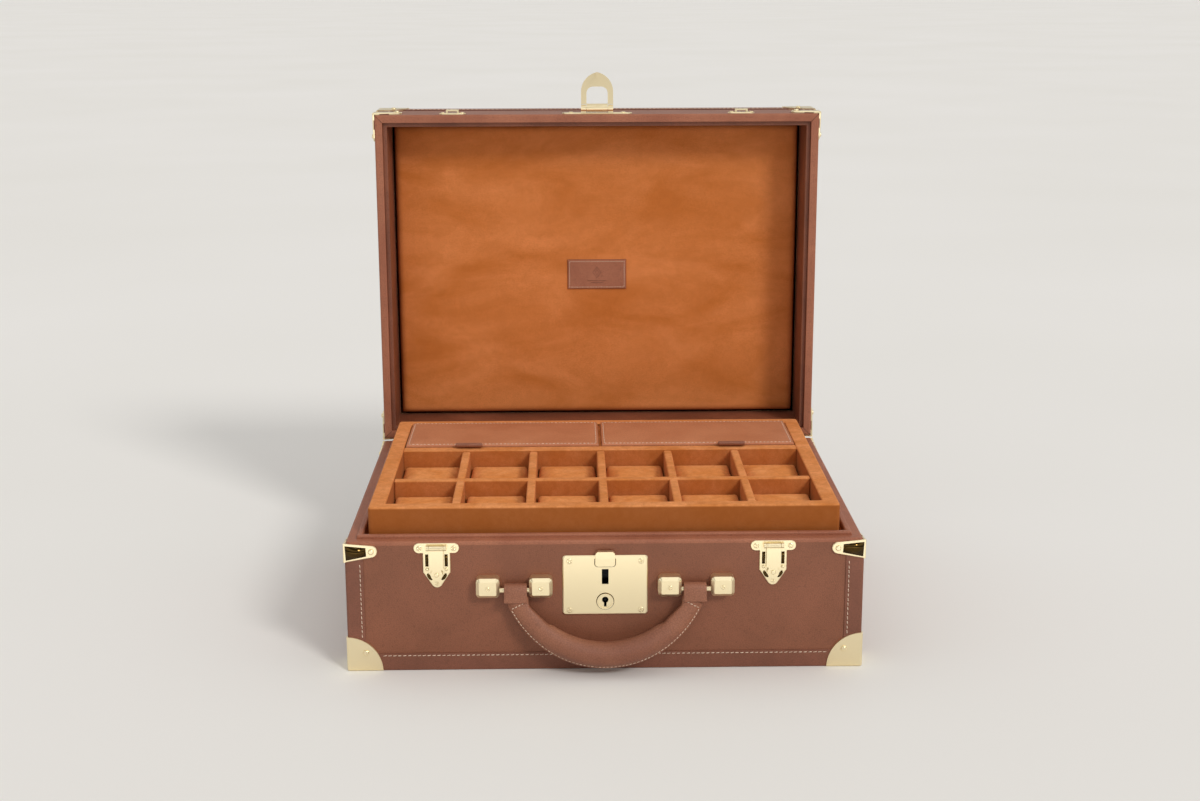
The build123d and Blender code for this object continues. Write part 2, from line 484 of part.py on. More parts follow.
def lid_shell():
    """Wooden lid with its leather, bands, rim, lining, padded panel and brass corners."""
    low_rim = LID_LOW + RIM_HEIGHT
    bands = ring(SHELL, PANEL, (LID_HIGH - BAND_WIDTH, LID_HIGH))
    bands += corner_bands((LID_LOW + RIM_ROLL, LID_HIGH))
    bands += ring(SHELL, inset(BAND_WIDTH), (LID_PANEL_TOP, LID_HIGH))
    bands = rounded_upright(bands, SHELL, CORNER_ROUND)
    leather = slab(PANEL, (low_rim, LID_PANEL_TOP)) - slab(CORE, (low_rim - 1, LID_PANEL_TOP - LEATHER))
    core_top = LID_PANEL_TOP - LEATHER
    core = slab(CORE, (LID_CORE_LOW, core_top)) - slab(LID_IN, (LID_CORE_LOW - 1, LID_CEILING))
    rim = rounded_upright(ring(PANEL, LID_RIM_IN, (LID_LOW, low_rim)), PANEL, RIM_CORNER)
    rim = rim_roll(rim, PANEL, LID_LOW, RIM_ROLL) + ring(CORE, LID_RIM_IN, (low_rim, LID_CORE_LOW))
    lining = ring(LID_RIM_IN, LID_CAVITY, (REBATE_Z, LID_CORE_LOW))
    lining += ring(LID_IN, LID_CAVITY, (LID_CORE_LOW, LID_CEILING))
    pad = slab((LID_CAVITY[0] - 0.4, LID_CAVITY[1] - 0.4), (LID_CEILING - LID_PAD, LID_CEILING))
    label_z = LID_CEILING - LID_PAD
    label = extrude(RectangleRounded(*LABEL, 2), -LEATHER)
    label = Pos(0, AXIS_Y + AXIS_Z - LABEL_Z, label_z) * label
    caps = four_corners(corner_cap(LID_HIGH + CAP, LID_PANEL_TOP, -1, bands))
    low, high = LID_LOW + 1, LID_LOW + 1 + TONGUE_HIGH - TONGUE_LOW
    nails = [cap_nails(BAND_WIDTH + CAP, LID_HIGH - CAP_NAIL_Z),
             cap_nails(TONGUE_LENGTH, (low + high) / 2 + 1)]
    nodes = {
        "lid_box": core, "lid_leather": leather - hinge_recess(), "lid_edge_bands": bands,
        "lid_rim": rim - hinge_recess(), "lid_lining": lining,
        "lid_panel": fillet(pad.faces().sort_by(Axis.Z)[0].edges(), 2.5), "lid_label": label,
        "lid_corner_caps": caps, "lid_rim_caps": four_corners(rim_cap(low, high, bands)),
        "lid_cap_nails": Part() + nails,
    }
    return {name: opened(shape) for name, shape in nodes.items()}


def latch_keeper():
    """Plate on the lid with a bridge over the place where the latch's flap lands."""
    plate = on_front(Pos(-LATCH_X, KEEPER_Z) * SlotOverall(KEEPER_LENGTH, KEEPER_HEIGHT), FRONT, PLATE)
    side, front = BRIDGE_WALL
    half, inner = BRIDGE_HALF, BRIDGE_HALF - side
    bridge = block((-LATCH_X - half, -LATCH_X + half), (FRONT - BRIDGE_PROUD, FRONT - PLATE), BRIDGE_Z)
    bridge -= block((-LATCH_X - inner, -LATCH_X + inner), (FRONT - BRIDGE_PROUD + front, FRONT - PLATE),
                    (BRIDGE_Z[0] - 1, BRIDGE_Z[1] + 1))
    return bevelled(plate, PLATE_BEVEL) + bridge


def hasp_outline(top):
    """Hasp in X and Z, folded down: a straight upper part over a pointed arch, with its window."""
    apex = HASP_Z - HASP_LENGTH
    shoulder = apex + HASP_ARCH
    radius = (HASP_HALF ** 2 + HASP_ARCH ** 2) / (2 * HASP_HALF)
    right_arc = Pos(HASP_HALF - radius, shoulder) * Circle(radius)
    left_arc = Pos(radius - HASP_HALF, shoulder) * Circle(radius)
    lower = (right_arc & left_arc) & (Pos(0, shoulder - 30) * Rectangle(80, 60))
    upper = Pos(0, (shoulder + top) / 2) * Rectangle(2 * HASP_HALF, top - shoulder)
    sill, head = HASP_Z - WINDOW_SILL, HASP_Z - HASP_KNUCKLE - 0.5
    arch = RectangleRounded(2 * WINDOW_HALF, 2 * WINDOW_ROUND + 0.5, WINDOW_ROUND)
    window = Pos(0, sill + WINDOW_ROUND + 0.25) * arch
    straight = sill + WINDOW_ROUND
    window += Pos(0, (straight + head) / 2) * Rectangle(2 * WINDOW_HALF, head - straight)
    return lower + upper, window


def hasp():
    """Hasp with its barrel and the hooked blade, lifted to stand square to the lid."""
    back = HASP_Y + 2.0
    top = HASP_Z - HASP_KNUCKLE - 0.4
    outline, window = hasp_outline(top)
    tab = bevelled(on_front(outline, back, HASP_THICK), 0.5) - on_front(window, back + 1, HASP_THICK + 2)
    across = (-WINDOW_HALF, WINDOW_HALF)
    web = block(across, (back - HASP_THICK, back), (top - 0.6, HASP_Z - 1.6))
    barrel = rod(across, HASP_Y, HASP_Z, HASP_KNUCKLE)
    low, high = HASP_Z - BLADE_DROP[0], HASP_Z - BLADE_DROP[1]
    blade = block((-BLADE_HALF, BLADE_HALF), (back, FRONT + BLADE_IN[1]), (low, high))
    barb = block((-BLADE_HALF, BLADE_HALF), (FRONT + BLADE_IN[0], FRONT + BLADE_IN[1]), (high, high + 1.4))
    whole = tab + web + barrel + blade + barb - rod(across, HASP_Y, HASP_Z, HASP_PIN + 0.05)
    return whole.rotate(Axis((0, HASP_Y, HASP_Z), (1, 0, 0)), -90)


def lid_fittings():
    """Latch keepers, and the hasp with its hinge plate, pin and screws, on the lid's front."""
    level = HASP_Z + HASP_PLATE_UP
    leaf = on_front(Pos(0, level) * SlotOverall(HASP_PLATE_LENGTH, HASP_PLATE_HEIGHT), FRONT, PLATE)
    knuckles = [bevelled(leaf, PLATE_BEVEL)]
    for turn in (-1, 1):
        span = sorted((turn * (WINDOW_HALF + 0.4), turn * HASP_HALF))
        lug = block(span, (HASP_Y, FRONT - PLATE), (HASP_Z - HASP_PIN, HASP_Z + HASP_KNUCKLE))
        lug += rod(span, HASP_Y, HASP_Z, HASP_KNUCKLE)
        knuckles.append(lug - rod(span, HASP_Y, HASP_Z, HASP_PIN))
    screws = [stud(turn * HASP_SCREW_X, FRONT - PLATE, level, 2.1, 0.9) for turn in (-1, 1)]
    for x in (-LATCH_X, LATCH_X):
        for dx in (-KEEPER_SCREW_X, KEEPER_SCREW_X):
            screws.append(stud(x + dx, FRONT - PLATE, KEEPER_Z, 1.8, 0.8))
    nodes = {
        "latch_keepers": both_sides(latch_keeper()), "hasp_plate": Part() + knuckles,
        "hasp_pin": rod((-HASP_HALF, HASP_HALF), HASP_Y, HASP_Z, HASP_PIN),
        "lid_screws": Part() + screws, "lid_hasp": hasp(),
    }
    return {name: opened(shape) for name, shape in nodes.items()}


def tray():
    """Lift-out tray: frame, dividers, well cushions, and the two leather flaps with their pulls."""
    frame = block((-TRAY_X, TRAY_X), (-TRAY_Y, TRAY_Y), (TRAY_LOW, TRAY_HIGH))
    frame = rounded_upright(frame, (TRAY_X, TRAY_Y), FRAME_CORNER)
    frame = fillet(frame.faces().sort_by(Axis.Z)[-1].edges(), FRAME_EDGE)
    floor = TRAY_LOW + TRAY_FLOOR
    frame -= block((-TRAY_IN_X, TRAY_IN_X), (TRAY_FRONT_IN, TRAY_BACK_IN), (floor, TRAY_HIGH + 1))
    top = TRAY_HIGH - DIVIDER_DROP
    width = (2 * TRAY_IN_X - (COLUMNS - 1) * DIVIDER) / COLUMNS
    pitch = width + DIVIDER
    rows = ((TRAY_FRONT_IN, MID_DIVIDER[0]), (MID_DIVIDER[1], BACK_DIVIDER[0]))
    middle = block((-TRAY_IN_X, TRAY_IN_X), MID_DIVIDER, (floor, top))
    cross = {row: Part() for row in rows}
    pads = Part()
    for row in rows:
        for k in range(COLUMNS):
            x = -TRAY_IN_X + k * pitch
            cushion = block((x + PAD_GAP, x + width - PAD_GAP), (row[0] + PAD_GAP, row[1] - PAD_GAP),
                            (floor, PAD_TOP))
            pads += fillet(cushion.faces().sort_by(Axis.Z)[-1].edges(), PAD_ROUND)
            if k:
                cross[row] += block((x - DIVIDER, x), row, (floor, top))
    back = block((-TRAY_IN_X, TRAY_IN_X), BACK_DIVIDER, (floor, TRAY_HIGH - 0.3))
    ledge_y = (BACK_DIVIDER[1], BACK_DIVIDER[1] + FLAP_LEDGE)
    back += block((-TRAY_IN_X, TRAY_IN_X), ledge_y, (floor, LID_FLAP_LOW - PAD_GAP))
    split = block((-SPLIT, SPLIT), (ledge_y[1], TRAY_BACK_IN), (floor, LID_FLAP_LOW - PAD_GAP))
    bed = block((-TRAY_IN_X + PAD_GAP, -SPLIT - PAD_GAP), (ledge_y[1] + PAD_GAP, TRAY_BACK_IN - PAD_GAP),
                (floor, floor + BED))
    flap_x = (-TRAY_IN_X + LID_FLAP_GAP, -1.0)
    flap_y = (BACK_DIVIDER[1] + LID_FLAP_GAP, TRAY_BACK_IN - LID_FLAP_GAP)
    flap = block(flap_x, flap_y, (LID_FLAP_LOW, LID_FLAP_LOW + LID_FLAP))
    flap = fillet(flap.faces().sort_by(Axis.Z)[-1].edges(), 1)
    pull_z = TRAY_HIGH + PULL_LIFT
    roll_y = flap_y[0] - PULL_REACH
    half = PULL_WIDTH / 2
    pull_x = (-PULL_X - half, -PULL_X + half)
    pull = rod(pull_x, roll_y, pull_z + PULL_RADIUS, PULL_RADIUS)
    pull += block(pull_x, (roll_y, flap_y[0] + PULL_TAIL), (pull_z, pull_z + PULL_STRIP))
    flap -= pull
    return {
        "tray_frame": frame, "tray_middle_divider": middle,
        "tray_front_dividers": cross[rows[0]], "tray_back_dividers": cross[rows[1]],
        "tray_shelf": back, "tray_bay_divider": split, "well_cushions": pads,
        "bay_pads": both_sides(bed), "flap_left": flap, "flap_right": mirror(flap, Plane.YZ),
        "flap_pull_left": pull, "flap_pull_right": mirror(pull, Plane.YZ),
    }


def main():
    """Build every piece and write one STEP file for each node."""
    nodes = {}
    for build in (base_shell, hinges, latches, lock, handle, lid_shell, lid_fittings, tray):
        for name, shape in build().items():
            nodes[name] = nodes[name] + shape if name in nodes else shape
    os.makedirs("parts", exist_ok=True)
    for name, shape in nodes.items():
        export_step(shape, f"parts/{name}.step")


main()
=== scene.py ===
import json
import logging
import math
from dataclasses import dataclass
from enum import Enum
from typing import Any, Callable, Sequence

import bmesh
import bpy
from mathutils import Matrix, Vector


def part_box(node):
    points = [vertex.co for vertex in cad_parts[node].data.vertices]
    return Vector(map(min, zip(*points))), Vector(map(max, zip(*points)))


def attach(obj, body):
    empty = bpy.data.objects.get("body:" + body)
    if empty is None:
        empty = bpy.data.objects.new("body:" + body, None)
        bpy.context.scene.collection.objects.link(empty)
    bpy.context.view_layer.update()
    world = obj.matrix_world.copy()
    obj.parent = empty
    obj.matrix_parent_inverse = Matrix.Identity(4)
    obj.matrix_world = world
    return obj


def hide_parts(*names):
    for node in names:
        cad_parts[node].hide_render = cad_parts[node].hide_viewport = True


# Looks of a leather jewellery case that stands open: every soft piece, the stitching and all finishes are
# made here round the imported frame. Metres, +Z up, the front faces -Y, the origin is under the base.

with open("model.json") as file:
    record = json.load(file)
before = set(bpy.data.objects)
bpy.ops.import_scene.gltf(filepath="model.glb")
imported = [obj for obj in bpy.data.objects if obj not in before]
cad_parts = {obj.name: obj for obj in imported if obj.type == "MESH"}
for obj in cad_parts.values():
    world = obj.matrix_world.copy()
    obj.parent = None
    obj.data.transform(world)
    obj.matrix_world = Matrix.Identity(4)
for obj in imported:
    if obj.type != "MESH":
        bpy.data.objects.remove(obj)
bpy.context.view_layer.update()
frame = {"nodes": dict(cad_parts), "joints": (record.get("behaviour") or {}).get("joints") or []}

MM = 0.001
LOG = logging.getLogger("jewellery_case")

# Turns a piece drawn lying flat, its top along +Z, so that it stands and faces the front
FACING_FRONT = Matrix(((1, 0, 0, 0), (0, 0, -1, 0), (0, 1, 0, 0), (0, 0, 0, 1)))

Inputs = dict[str | int, Any]
COLOURS = {"data_type": "RGBA"}                  # lets a mix node blend colours
MIDDLE = {"From Min": 0.3, "From Max": 0.7}      # the range that most of a cloud pattern falls in
Spot = tuple[Vector, Vector]                     # a point on a surface and the surface's normal there


# ---------------------------------------------------------------- materials

def linear(hex_colour: str) -> tuple[float, float, float, float]:
    """Turn an sRGB hex colour into linear light.

    Args:
        hex_colour: Six hex digits, such as "8a5a42".

    Returns:
        Red, green, blue and an alpha of one.
    """
    parts = [int(hex_colour[k:k + 2], 16) / 255 for k in (0, 2, 4)]
    red, green, blue = [p / 12.92 if p <= 0.04045 else ((p + 0.055) / 1.055) ** 2.4 for p in parts]
    return red, green, blue, 1.0


def per_mm(size_mm: float) -> float:
    """Return the scale at which a pattern's blobs have a real size in millimetres."""
    return 1 / (size_mm * MM)


def feed(node: bpy.types.Node, inputs: Inputs) -> None:
    """Set or link the inputs of a node.

    Args:
        node: The node.
        inputs: A value, or a socket to link from, for each named or numbered input.
    """
    for key, value in inputs.items():
        if isinstance(value, bpy.types.NodeSocket):
            node.id_data.links.new(value, node.inputs[key])
        else:
            node.inputs[key].default_value = value


def add_node(tree: bpy.types.NodeTree, kind: str, inputs: Inputs | None = None,
             settings: dict[str, Any] | None = None, out: str | int = 0) -> bpy.types.NodeSocket:
    """Add one shader node, set it up and link it.

    Args:
        tree: The node tree that gets the node.
        kind: The node's type without its ShaderNode prefix.
        inputs: A value, or a socket to link from, for each named or numbered input.
        settings: Values for the node's own properties.
        out: Name or number of the output that is wanted.

    Returns:
        That output's socket.
    """
    node = tree.nodes.new("ShaderNode" + kind)
    for key, value in (settings or {}).items():
        setattr(node, key, value)
    feed(node, inputs or {})
    return node.outputs[out]


@dataclass(frozen=True)
class Finish:
    """A real material and how its surface was made, with the record's slot that it belongs to."""

    name: str
    slot: str | None = None

    def material(self) -> bpy.types.Material:
        """Build the material once.

        Returns:
            The Blender material of this finish.
        """
        known = bpy.data.materials.get(self.name)
        if known:
            return known
        made = bpy.data.materials.new(self.name)
        made.use_nodes = True
        tree = made.node_tree
        self.shade(tree, tree.nodes["Principled BSDF"], add_node(tree, "TexCoord", out="Object"))
        return made

    def shade(self, tree: bpy.types.NodeTree, shader: bpy.types.Node, place: bpy.types.NodeSocket) -> None:
        """Add the nodes that give this finish its look.

        Args:
            tree: The material's node tree.
            shader: Its principled shader.
            place: Position on the piece in metres.
        """
        raise NotImplementedError


@dataclass(frozen=True)
class FullGrainLeather(Finish):
    """Calf leather, dyed through, milled to a fine pebble and wax finished."""

    lit: str = "965c42"
    deep: str = "8a543b"
    crease: str = "593421"
    grain_mm: float = 1.3          # the real pebble is about 0.8 mm, drawn a little coarser so that it shows
    patch_mm: float = 55.0
    gloss: float = 0.5
    grain_depth_mm: float = 0.12

    def shade(self, tree: bpy.types.NodeTree, shader: bpy.types.Node, place: bpy.types.NodeSocket) -> None:
        """Pebbled plateaus with dark creases between them, over slow changes of dye and wax."""
        # Wax fills the creases darker and leaves the pebble tops a little smoother, so the eye sees a soft
        # broken highlight and small dark lines.
        stir = add_node(tree, "TexNoise", {"Vector": place, "Scale": per_mm(self.grain_mm * 2.6)})
        pull = add_node(tree, "VectorMath", {0: stir, "Scale": self.grain_mm * MM * 0.9},
                        {"operation": "SCALE"})
        moved = add_node(tree, "VectorMath", {0: place, 1: pull}, {"operation": "ADD"})
        edges = add_node(tree, "TexVoronoi", {"Vector": moved, "Scale": per_mm(self.grain_mm)},
                         {"feature": "DISTANCE_TO_EDGE"}, "Distance")
        pebble = add_node(tree, "MapRange", {"Value": edges, "From Max": 0.22})
        pores = add_node(tree, "TexNoise", {"Vector": place, "Scale": per_mm(self.grain_mm * 0.35)})
        dye = add_node(tree, "TexNoise", {"Vector": place, "Scale": per_mm(self.patch_mm), "Detail": 4.0,
                                          "Roughness": 0.6, "Distortion": 0.4})
        drift = add_node(tree, "MapRange", {"Value": dye, "From Min": 0.36, "From Max": 0.64})
        tone = add_node(tree, "Mix", {0: drift, 6: linear(self.lit), 7: linear(self.deep)}, COLOURS, 2)
        lines = add_node(tree, "MapRange", {"Value": pebble, "From Max": 0.6, "To Min": 0.42, "To Max": 0.0})
        tone = add_node(tree, "Mix", {0: lines, 6: tone, 7: linear(self.crease)}, COLOURS, 2)
        wax = add_node(tree, "MapRange", {"Value": pores, **MIDDLE, "To Min": self.gloss - 0.05,
                                          "To Max": self.gloss + 0.09})
        fine = add_node(tree, "Bump", {"Height": pores, "Distance": self.grain_depth_mm * 0.4 * MM,
                                       "Strength": 0.35})
        grain = add_node(tree, "Bump", {"Height": pebble, "Distance": self.grain_depth_mm * MM,
                                        "Strength": 0.42, "Normal": fine})
        feed(shader, {"Base Color": tone, "Roughness": wax, "Normal": grain, "Specular IOR Level": 0.42})


@dataclass(frozen=True)
class Suede(Finish):
    """Split suede, buffed on the flesh side and dyed tan."""

    raised: str = "e89054"
    brushed: str = "cc7638"
    shadowed: str = "9c5422"
    upright_shade: str = "96511f"        # painted shade: upright sides are drawn darker than the tops
    upright_shade_share: float = 0.0              # share of that painted shade on upright sides
    stretch: float = 1.0           # strokes drawn out sideways, below one
    fibre_mm: float = 0.55         # real fibres are about 0.1 mm, drawn in tufts so that they show
    stroke_mm: float = 38.0
    tuft_mm: float = 5.0
    tuft: float = 0.30             # strength of the tufts
    broad: float = 0.8             # strength of the strokes

    def shade(self, tree: bpy.types.NodeTree, shader: bpy.types.Node, place: bpy.types.NodeSocket) -> None:
        """A nap that lies both ways: slow strokes of light and dark, small tufts and fine fibres."""
        # The nap scatters light, so there is no highlight, only patches where it was brushed the other way.
        drawn = add_node(tree, "Mapping", {"Vector": place, "Scale": (self.stretch, 1.0, 1.0)})
        strokes = add_node(tree, "TexNoise", {"Vector": drawn, "Scale": per_mm(self.stroke_mm), "Detail": 5.0,
                                              "Roughness": 0.55, "Distortion": 0.6})
        tufts = add_node(tree, "TexNoise", {"Vector": place, "Scale": per_mm(self.tuft_mm), "Detail": 4.0,
                                            "Roughness": 0.6, "Distortion": 0.5})
        fibres = add_node(tree, "TexNoise", {"Vector": place, "Scale": per_mm(self.fibre_mm), "Detail": 3.0,
                                             "Roughness": 0.6})
        broad = add_node(tree, "MapRange", {"Value": strokes, "From Min": 0.34, "From Max": 0.66,
                                            "To Min": 0.5 - self.broad / 2, "To Max": 0.5 + self.broad / 2})
        tone = add_node(tree, "Mix", {0: broad, 6: linear(self.brushed), 7: linear(self.raised)}, COLOURS, 2)
        small = add_node(tree, "MapRange", {"Value": tufts, "From Min": 0.36, "From Max": 0.62,
                                            "To Min": self.tuft, "To Max": 0.0})
        tone = add_node(tree, "Mix", {0: small, 6: tone, 7: linear(self.shadowed)}, COLOURS, 2)
        # Painted shade: faces that stand upright are darkened towards the upright-shade colour, tops are not.
        facing = add_node(tree, "TexCoord", out="Normal")
        upright = add_node(tree, "SeparateXYZ", {0: facing}, out=2)
        side_shade = add_node(tree, "MapRange", {"Value": upright, "From Min": 0.1, "From Max": 0.7,
                                           "To Min": self.upright_shade_share, "To Max": 0.0})
        tone = add_node(tree, "Mix", {0: side_shade, 6: tone, 7: linear(self.upright_shade)}, COLOURS, 2)
        speck = add_node(tree, "MapRange", {"Value": fibres, "From Min": 0.34, "From Max": 0.58,
                                            "To Min": 0.30, "To Max": 0.0})
        tone = add_node(tree, "Mix", {0: speck, 6: tone, 7: linear(self.shadowed)}, COLOURS, 2)
        coarse = add_node(tree, "Bump", {"Height": tufts, "Distance": 0.5 * MM, "Strength": 0.25})
        nap = add_node(tree, "Bump", {"Height": fibres, "Distance": 0.22 * MM, "Strength": 0.5,
                                      "Normal": coarse})
        feed(shader, {"Base Color": tone, "Normal": nap, "Roughness": 0.95, "Specular IOR Level": 0.12,
                      "Sheen Weight": 0.22, "Sheen Roughness": 0.5, "Sheen Tint": linear("f0b07a")})


@dataclass(frozen=True)
class PolishedBrass(Finish):
    """Yellow brass, stamped, polished on a mop and lacquered."""

    metal: str = "f6e0ae"
    worn: str = "e2c585"
    smooth: float = 0.13
    wave_mm: float = 14.0
    scratch_mm: float = 0.4
    # colour of the painted shade in the brass's corners and joints
    contact_shade: str = "4a3212"
    corner_mm: float = 2.2

    def shade(self, tree: bpy.types.NodeTree, shader: bpy.types.Node, place: bpy.types.NodeSocket) -> None:
        """A bright mirror with the slight waves of a mop and fine hairlines in the lacquer."""
        # The mop leaves slow waves, so straight reflections wander a little instead of lying dead flat.
        patina = add_node(tree, "TexNoise", {"Vector": place, "Scale": per_mm(self.wave_mm), "Detail": 4.0,
                                             "Roughness": 0.55, "Distortion": 0.3})
        rubbed = add_node(tree, "MapRange", {"Value": patina, **MIDDLE, "To Max": 0.5})
        tone = add_node(tree, "Mix", {0: rubbed, 6: linear(self.metal), 7: linear(self.worn)}, COLOURS, 2)
        # Painted shade: corners and joints that ambient occlusion finds are darkened towards the
        # contact-shade colour, while open faces keep their bright metal colour.
        occlusion = add_node(tree, "AmbientOcclusion", {"Distance": self.corner_mm * MM}, {"samples": 6}, "AO")
        held = add_node(tree, "MapRange", {"Value": occlusion, "From Min": 0.4, "From Max": 0.96,
                                           "To Min": 0.92, "To Max": 0.0})
        tone = add_node(tree, "Mix", {0: held, 6: tone, 7: linear(self.contact_shade)}, COLOURS, 2)
        squeeze = add_node(tree, "Mapping", {"Vector": place, "Scale": (0.12, 1.0, 1.0)})
        hairlines = add_node(tree, "TexNoise", {"Vector": squeeze, "Scale": per_mm(self.scratch_mm),
                                                "Detail": 3.0, "Roughness": 0.6})
        gloss = add_node(tree, "MapRange", {"Value": hairlines, **MIDDLE, "To Min": self.smooth - 0.03,
                                            "To Max": self.smooth + 0.07})
        swell = add_node(tree, "TexNoise", {"Vector": place, "Scale": per_mm(self.wave_mm), "Detail": 1.0})
        waves = add_node(tree, "Bump", {"Height": swell, "Distance": 0.25 * MM, "Strength": 0.3})
        scratches = add_node(tree, "Bump", {"Height": hairlines, "Distance": 0.004 * MM, "Strength": 0.3,
                                            "Normal": waves})
        feed(shader, {"Base Color": tone, "Roughness": gloss, "Normal": scratches, "Metallic": 1.0,
                      "Coat Weight": 0.12, "Coat Roughness": 0.06})


@dataclass(frozen=True)
class SatinSteel(Finish):
    """Cold-rolled spring steel, tumbled to a satin."""

    metal: str = "b9bbbd"
    dulled: str = "8f9296"
    roll_mm: float = 0.5

    def shade(self, tree: bpy.types.NodeTree, shader: bpy.types.Node, place: bpy.types.NodeSocket) -> None:
        """A grey metal with short rolling marks."""
        # Rolling marks all run one way, which drags the highlight out across them.
        stretch = add_node(tree, "Mapping", {"Vector": place, "Scale": (0.08, 1.0, 1.0)})
        marks = add_node(tree, "TexNoise", {"Vector": stretch, "Scale": per_mm(self.roll_mm), "Detail": 3.0,
                                            "Roughness": 0.6})
        share = add_node(tree, "MapRange", {"Value": marks, **MIDDLE})
        tone = add_node(tree, "Mix", {0: share, 6: linear(self.metal), 7: linear(self.dulled)}, COLOURS, 2)
        gloss = add_node(tree, "MapRange", {"Value": marks, **MIDDLE, "To Min": 0.26, "To Max": 0.42})
        rolled = add_node(tree, "Bump", {"Height": marks, "Distance": 0.02 * MM, "Strength": 0.3})
        feed(shader, {"Base Color": tone, "Roughness": gloss, "Normal": rolled, "Metallic": 1.0})


@dataclass(frozen=True)
class BirchPly(Finish):
    """Birch plywood, sanded, its veneers showing at a cut edge."""

    early: str = "d9bd92"
    late: str = "b8935f"
    ring_mm: float = 7.0
    fibre_mm: float = 0.8

    def shade(self, tree: bpy.types.NodeTree, shader: bpy.types.Node, place: bpy.types.NodeSocket) -> None:
        """Long pale bands of growth with short darker fibres along them."""
        # Peeled veneer is cut along the rings, so its figure is wide, slow and stretched along the sheet.
        along = add_node(tree, "Mapping", {"Vector": place, "Scale": (0.09, 1.0, 1.0)})
        rings = add_node(tree, "TexNoise", {"Vector": along, "Scale": per_mm(self.ring_mm), "Detail": 4.0,
                                            "Roughness": 0.55, "Distortion": 1.2})
        fibres = add_node(tree, "TexNoise", {"Vector": along, "Scale": per_mm(self.fibre_mm), "Detail": 3.0,
                                             "Roughness": 0.6})
        share = add_node(tree, "MapRange", {"Value": rings, **MIDDLE, "To Max": 0.8})
        tone = add_node(tree, "Mix", {0: share, 6: linear(self.early), 7: linear(self.late)}, COLOURS, 2)
        specks = add_node(tree, "MapRange", {"Value": fibres, "From Min": 0.45, "From Max": 0.7,
                                             "To Max": 0.4})
        tone = add_node(tree, "Mix", {0: specks, 6: tone, 7: linear(self.late)}, COLOURS, 2)
        sanded = add_node(tree, "Bump", {"Height": fibres, "Distance": 0.08 * MM, "Strength": 0.4})
        feed(shader, {"Base Color": tone, "Normal": sanded, "Roughness": 0.72})


@dataclass(frozen=True)
class WaxedThread(Finish):
    """Linen thread, twisted from three cords and waxed."""

    cord: str = "f0d8c0"
    groove: str = "b8927a"
    twist_mm: float = 0.7

    def shade(self, tree: bpy.types.NodeTree, shader: bpy.types.Node, place: bpy.types.NodeSocket) -> None:
        """Slanted ridges of twist under a thin wax."""
        # The twist makes small slanting ridges whose grooves hold dust and wax.
        lean = add_node(tree, "Mapping", {"Vector": place, "Rotation": (0.6, 0.6, 0.6)})
        ridges = add_node(tree, "TexWave", {"Vector": lean, "Scale": per_mm(self.twist_mm) / 6,
                                            "Distortion": 1.0},
                          {"wave_type": "BANDS", "bands_direction": "DIAGONAL"}, 1)
        share = add_node(tree, "MapRange", {"Value": ridges, "From Min": 0.2, "From Max": 0.9, "To Max": 0.6})
        tone = add_node(tree, "Mix", {0: share, 6: linear(self.cord), 7: linear(self.groove)}, COLOURS, 2)
        twist = add_node(tree, "Bump", {"Height": ridges, "Distance": 0.08 * MM, "Strength": 0.4})
        feed(shader, {"Base Color": tone, "Normal": twist, "Roughness": 0.62})


@dataclass(frozen=True)
class StudioPaint(Finish):
    """Matt white paint, rolled on a studio floor."""

    paint: str = "f3f1ee"
    shade_tone: str = "f0eeea"
    drift_mm: float = 900.0

    def shade(self, tree: bpy.types.NodeTree, shader: bpy.types.Node, place: bpy.types.NodeSocket) -> None:
        """An even pale surface with the faintest change of tone."""
        # Rolled matt paint has almost no highlight and only a very slow drift of tone.
        drift = add_node(tree, "TexNoise", {"Vector": place, "Scale": per_mm(self.drift_mm)})
        share = add_node(tree, "MapRange", {"Value": drift, **MIDDLE})
        tone = add_node(tree, "Mix", {0: share, 6: linear(self.paint), 7: linear(self.shade_tone)},
                        COLOURS, 2)
        feed(shader, {"Base Color": tone, "Roughness": 0.9, "Specular IOR Level": 0.1})


PANEL_LEATHER = FullGrainLeather("panel_leather", "brown_leather")
BAND_LEATHER = FullGrainLeather("band_leather", "brown_leather", lit="8f5844", deep="7e4d3a")
RIM_LEATHER = FullGrainLeather("rim_leather", "brown_leather", lit="b37153", deep="a26146")
# Painted shade: a darker copy of the leather for the lid's inner walls and the panel's board, standing in for
# the deep shade inside the lid.
WALL_SHADE_LEATHER = FullGrainLeather("wall_leather_painted_shade", "brown_leather", lit="94593f", deep="7b4731", crease="3f2318")
FLAP_LEATHER = FullGrainLeather("flap_leather", "brown_leather", lit="d18b64", deep="c37b55", crease="8a5238")
GRIP_LEATHER = FullGrainLeather("grip_leather", "brown_leather", lit="a2694e", deep="8e5842", grain_mm=1.7,
                                grain_depth_mm=0.25, gloss=0.48)
STAMPED_LEATHER = FullGrainLeather("stamped_leather", "brown_leather", lit="6c402e", deep="573223",
                                   gloss=0.42)
LINING_SUEDE = Suede("lining_suede", "suede", stretch=0.4, tuft=0.12, tuft_mm=9.0, broad=1.0)
CUSHION_SUEDE = Suede("cushion_suede", "suede_cushion", raised="f9aa6a", brushed="e68f48", shadowed="ae6029",
                      stroke_mm=24.0)
BOARD_SUEDE = Suede("board_suede", "suede_board", raised="f7a66a", brushed="dc8846", shadowed="9c5422",
                    stroke_mm=30.0, upright_shade_share=0.85)
DIVIDER_SUEDE = Suede("divider_suede", "suede_board", raised="f7a66a", brushed="dc8846", shadowed="9c5422",
                      stroke_mm=26.0, upright_shade="a65c28", upright_shade_share=0.6)
BRASS = PolishedBrass("polished_brass", "polished_brass")
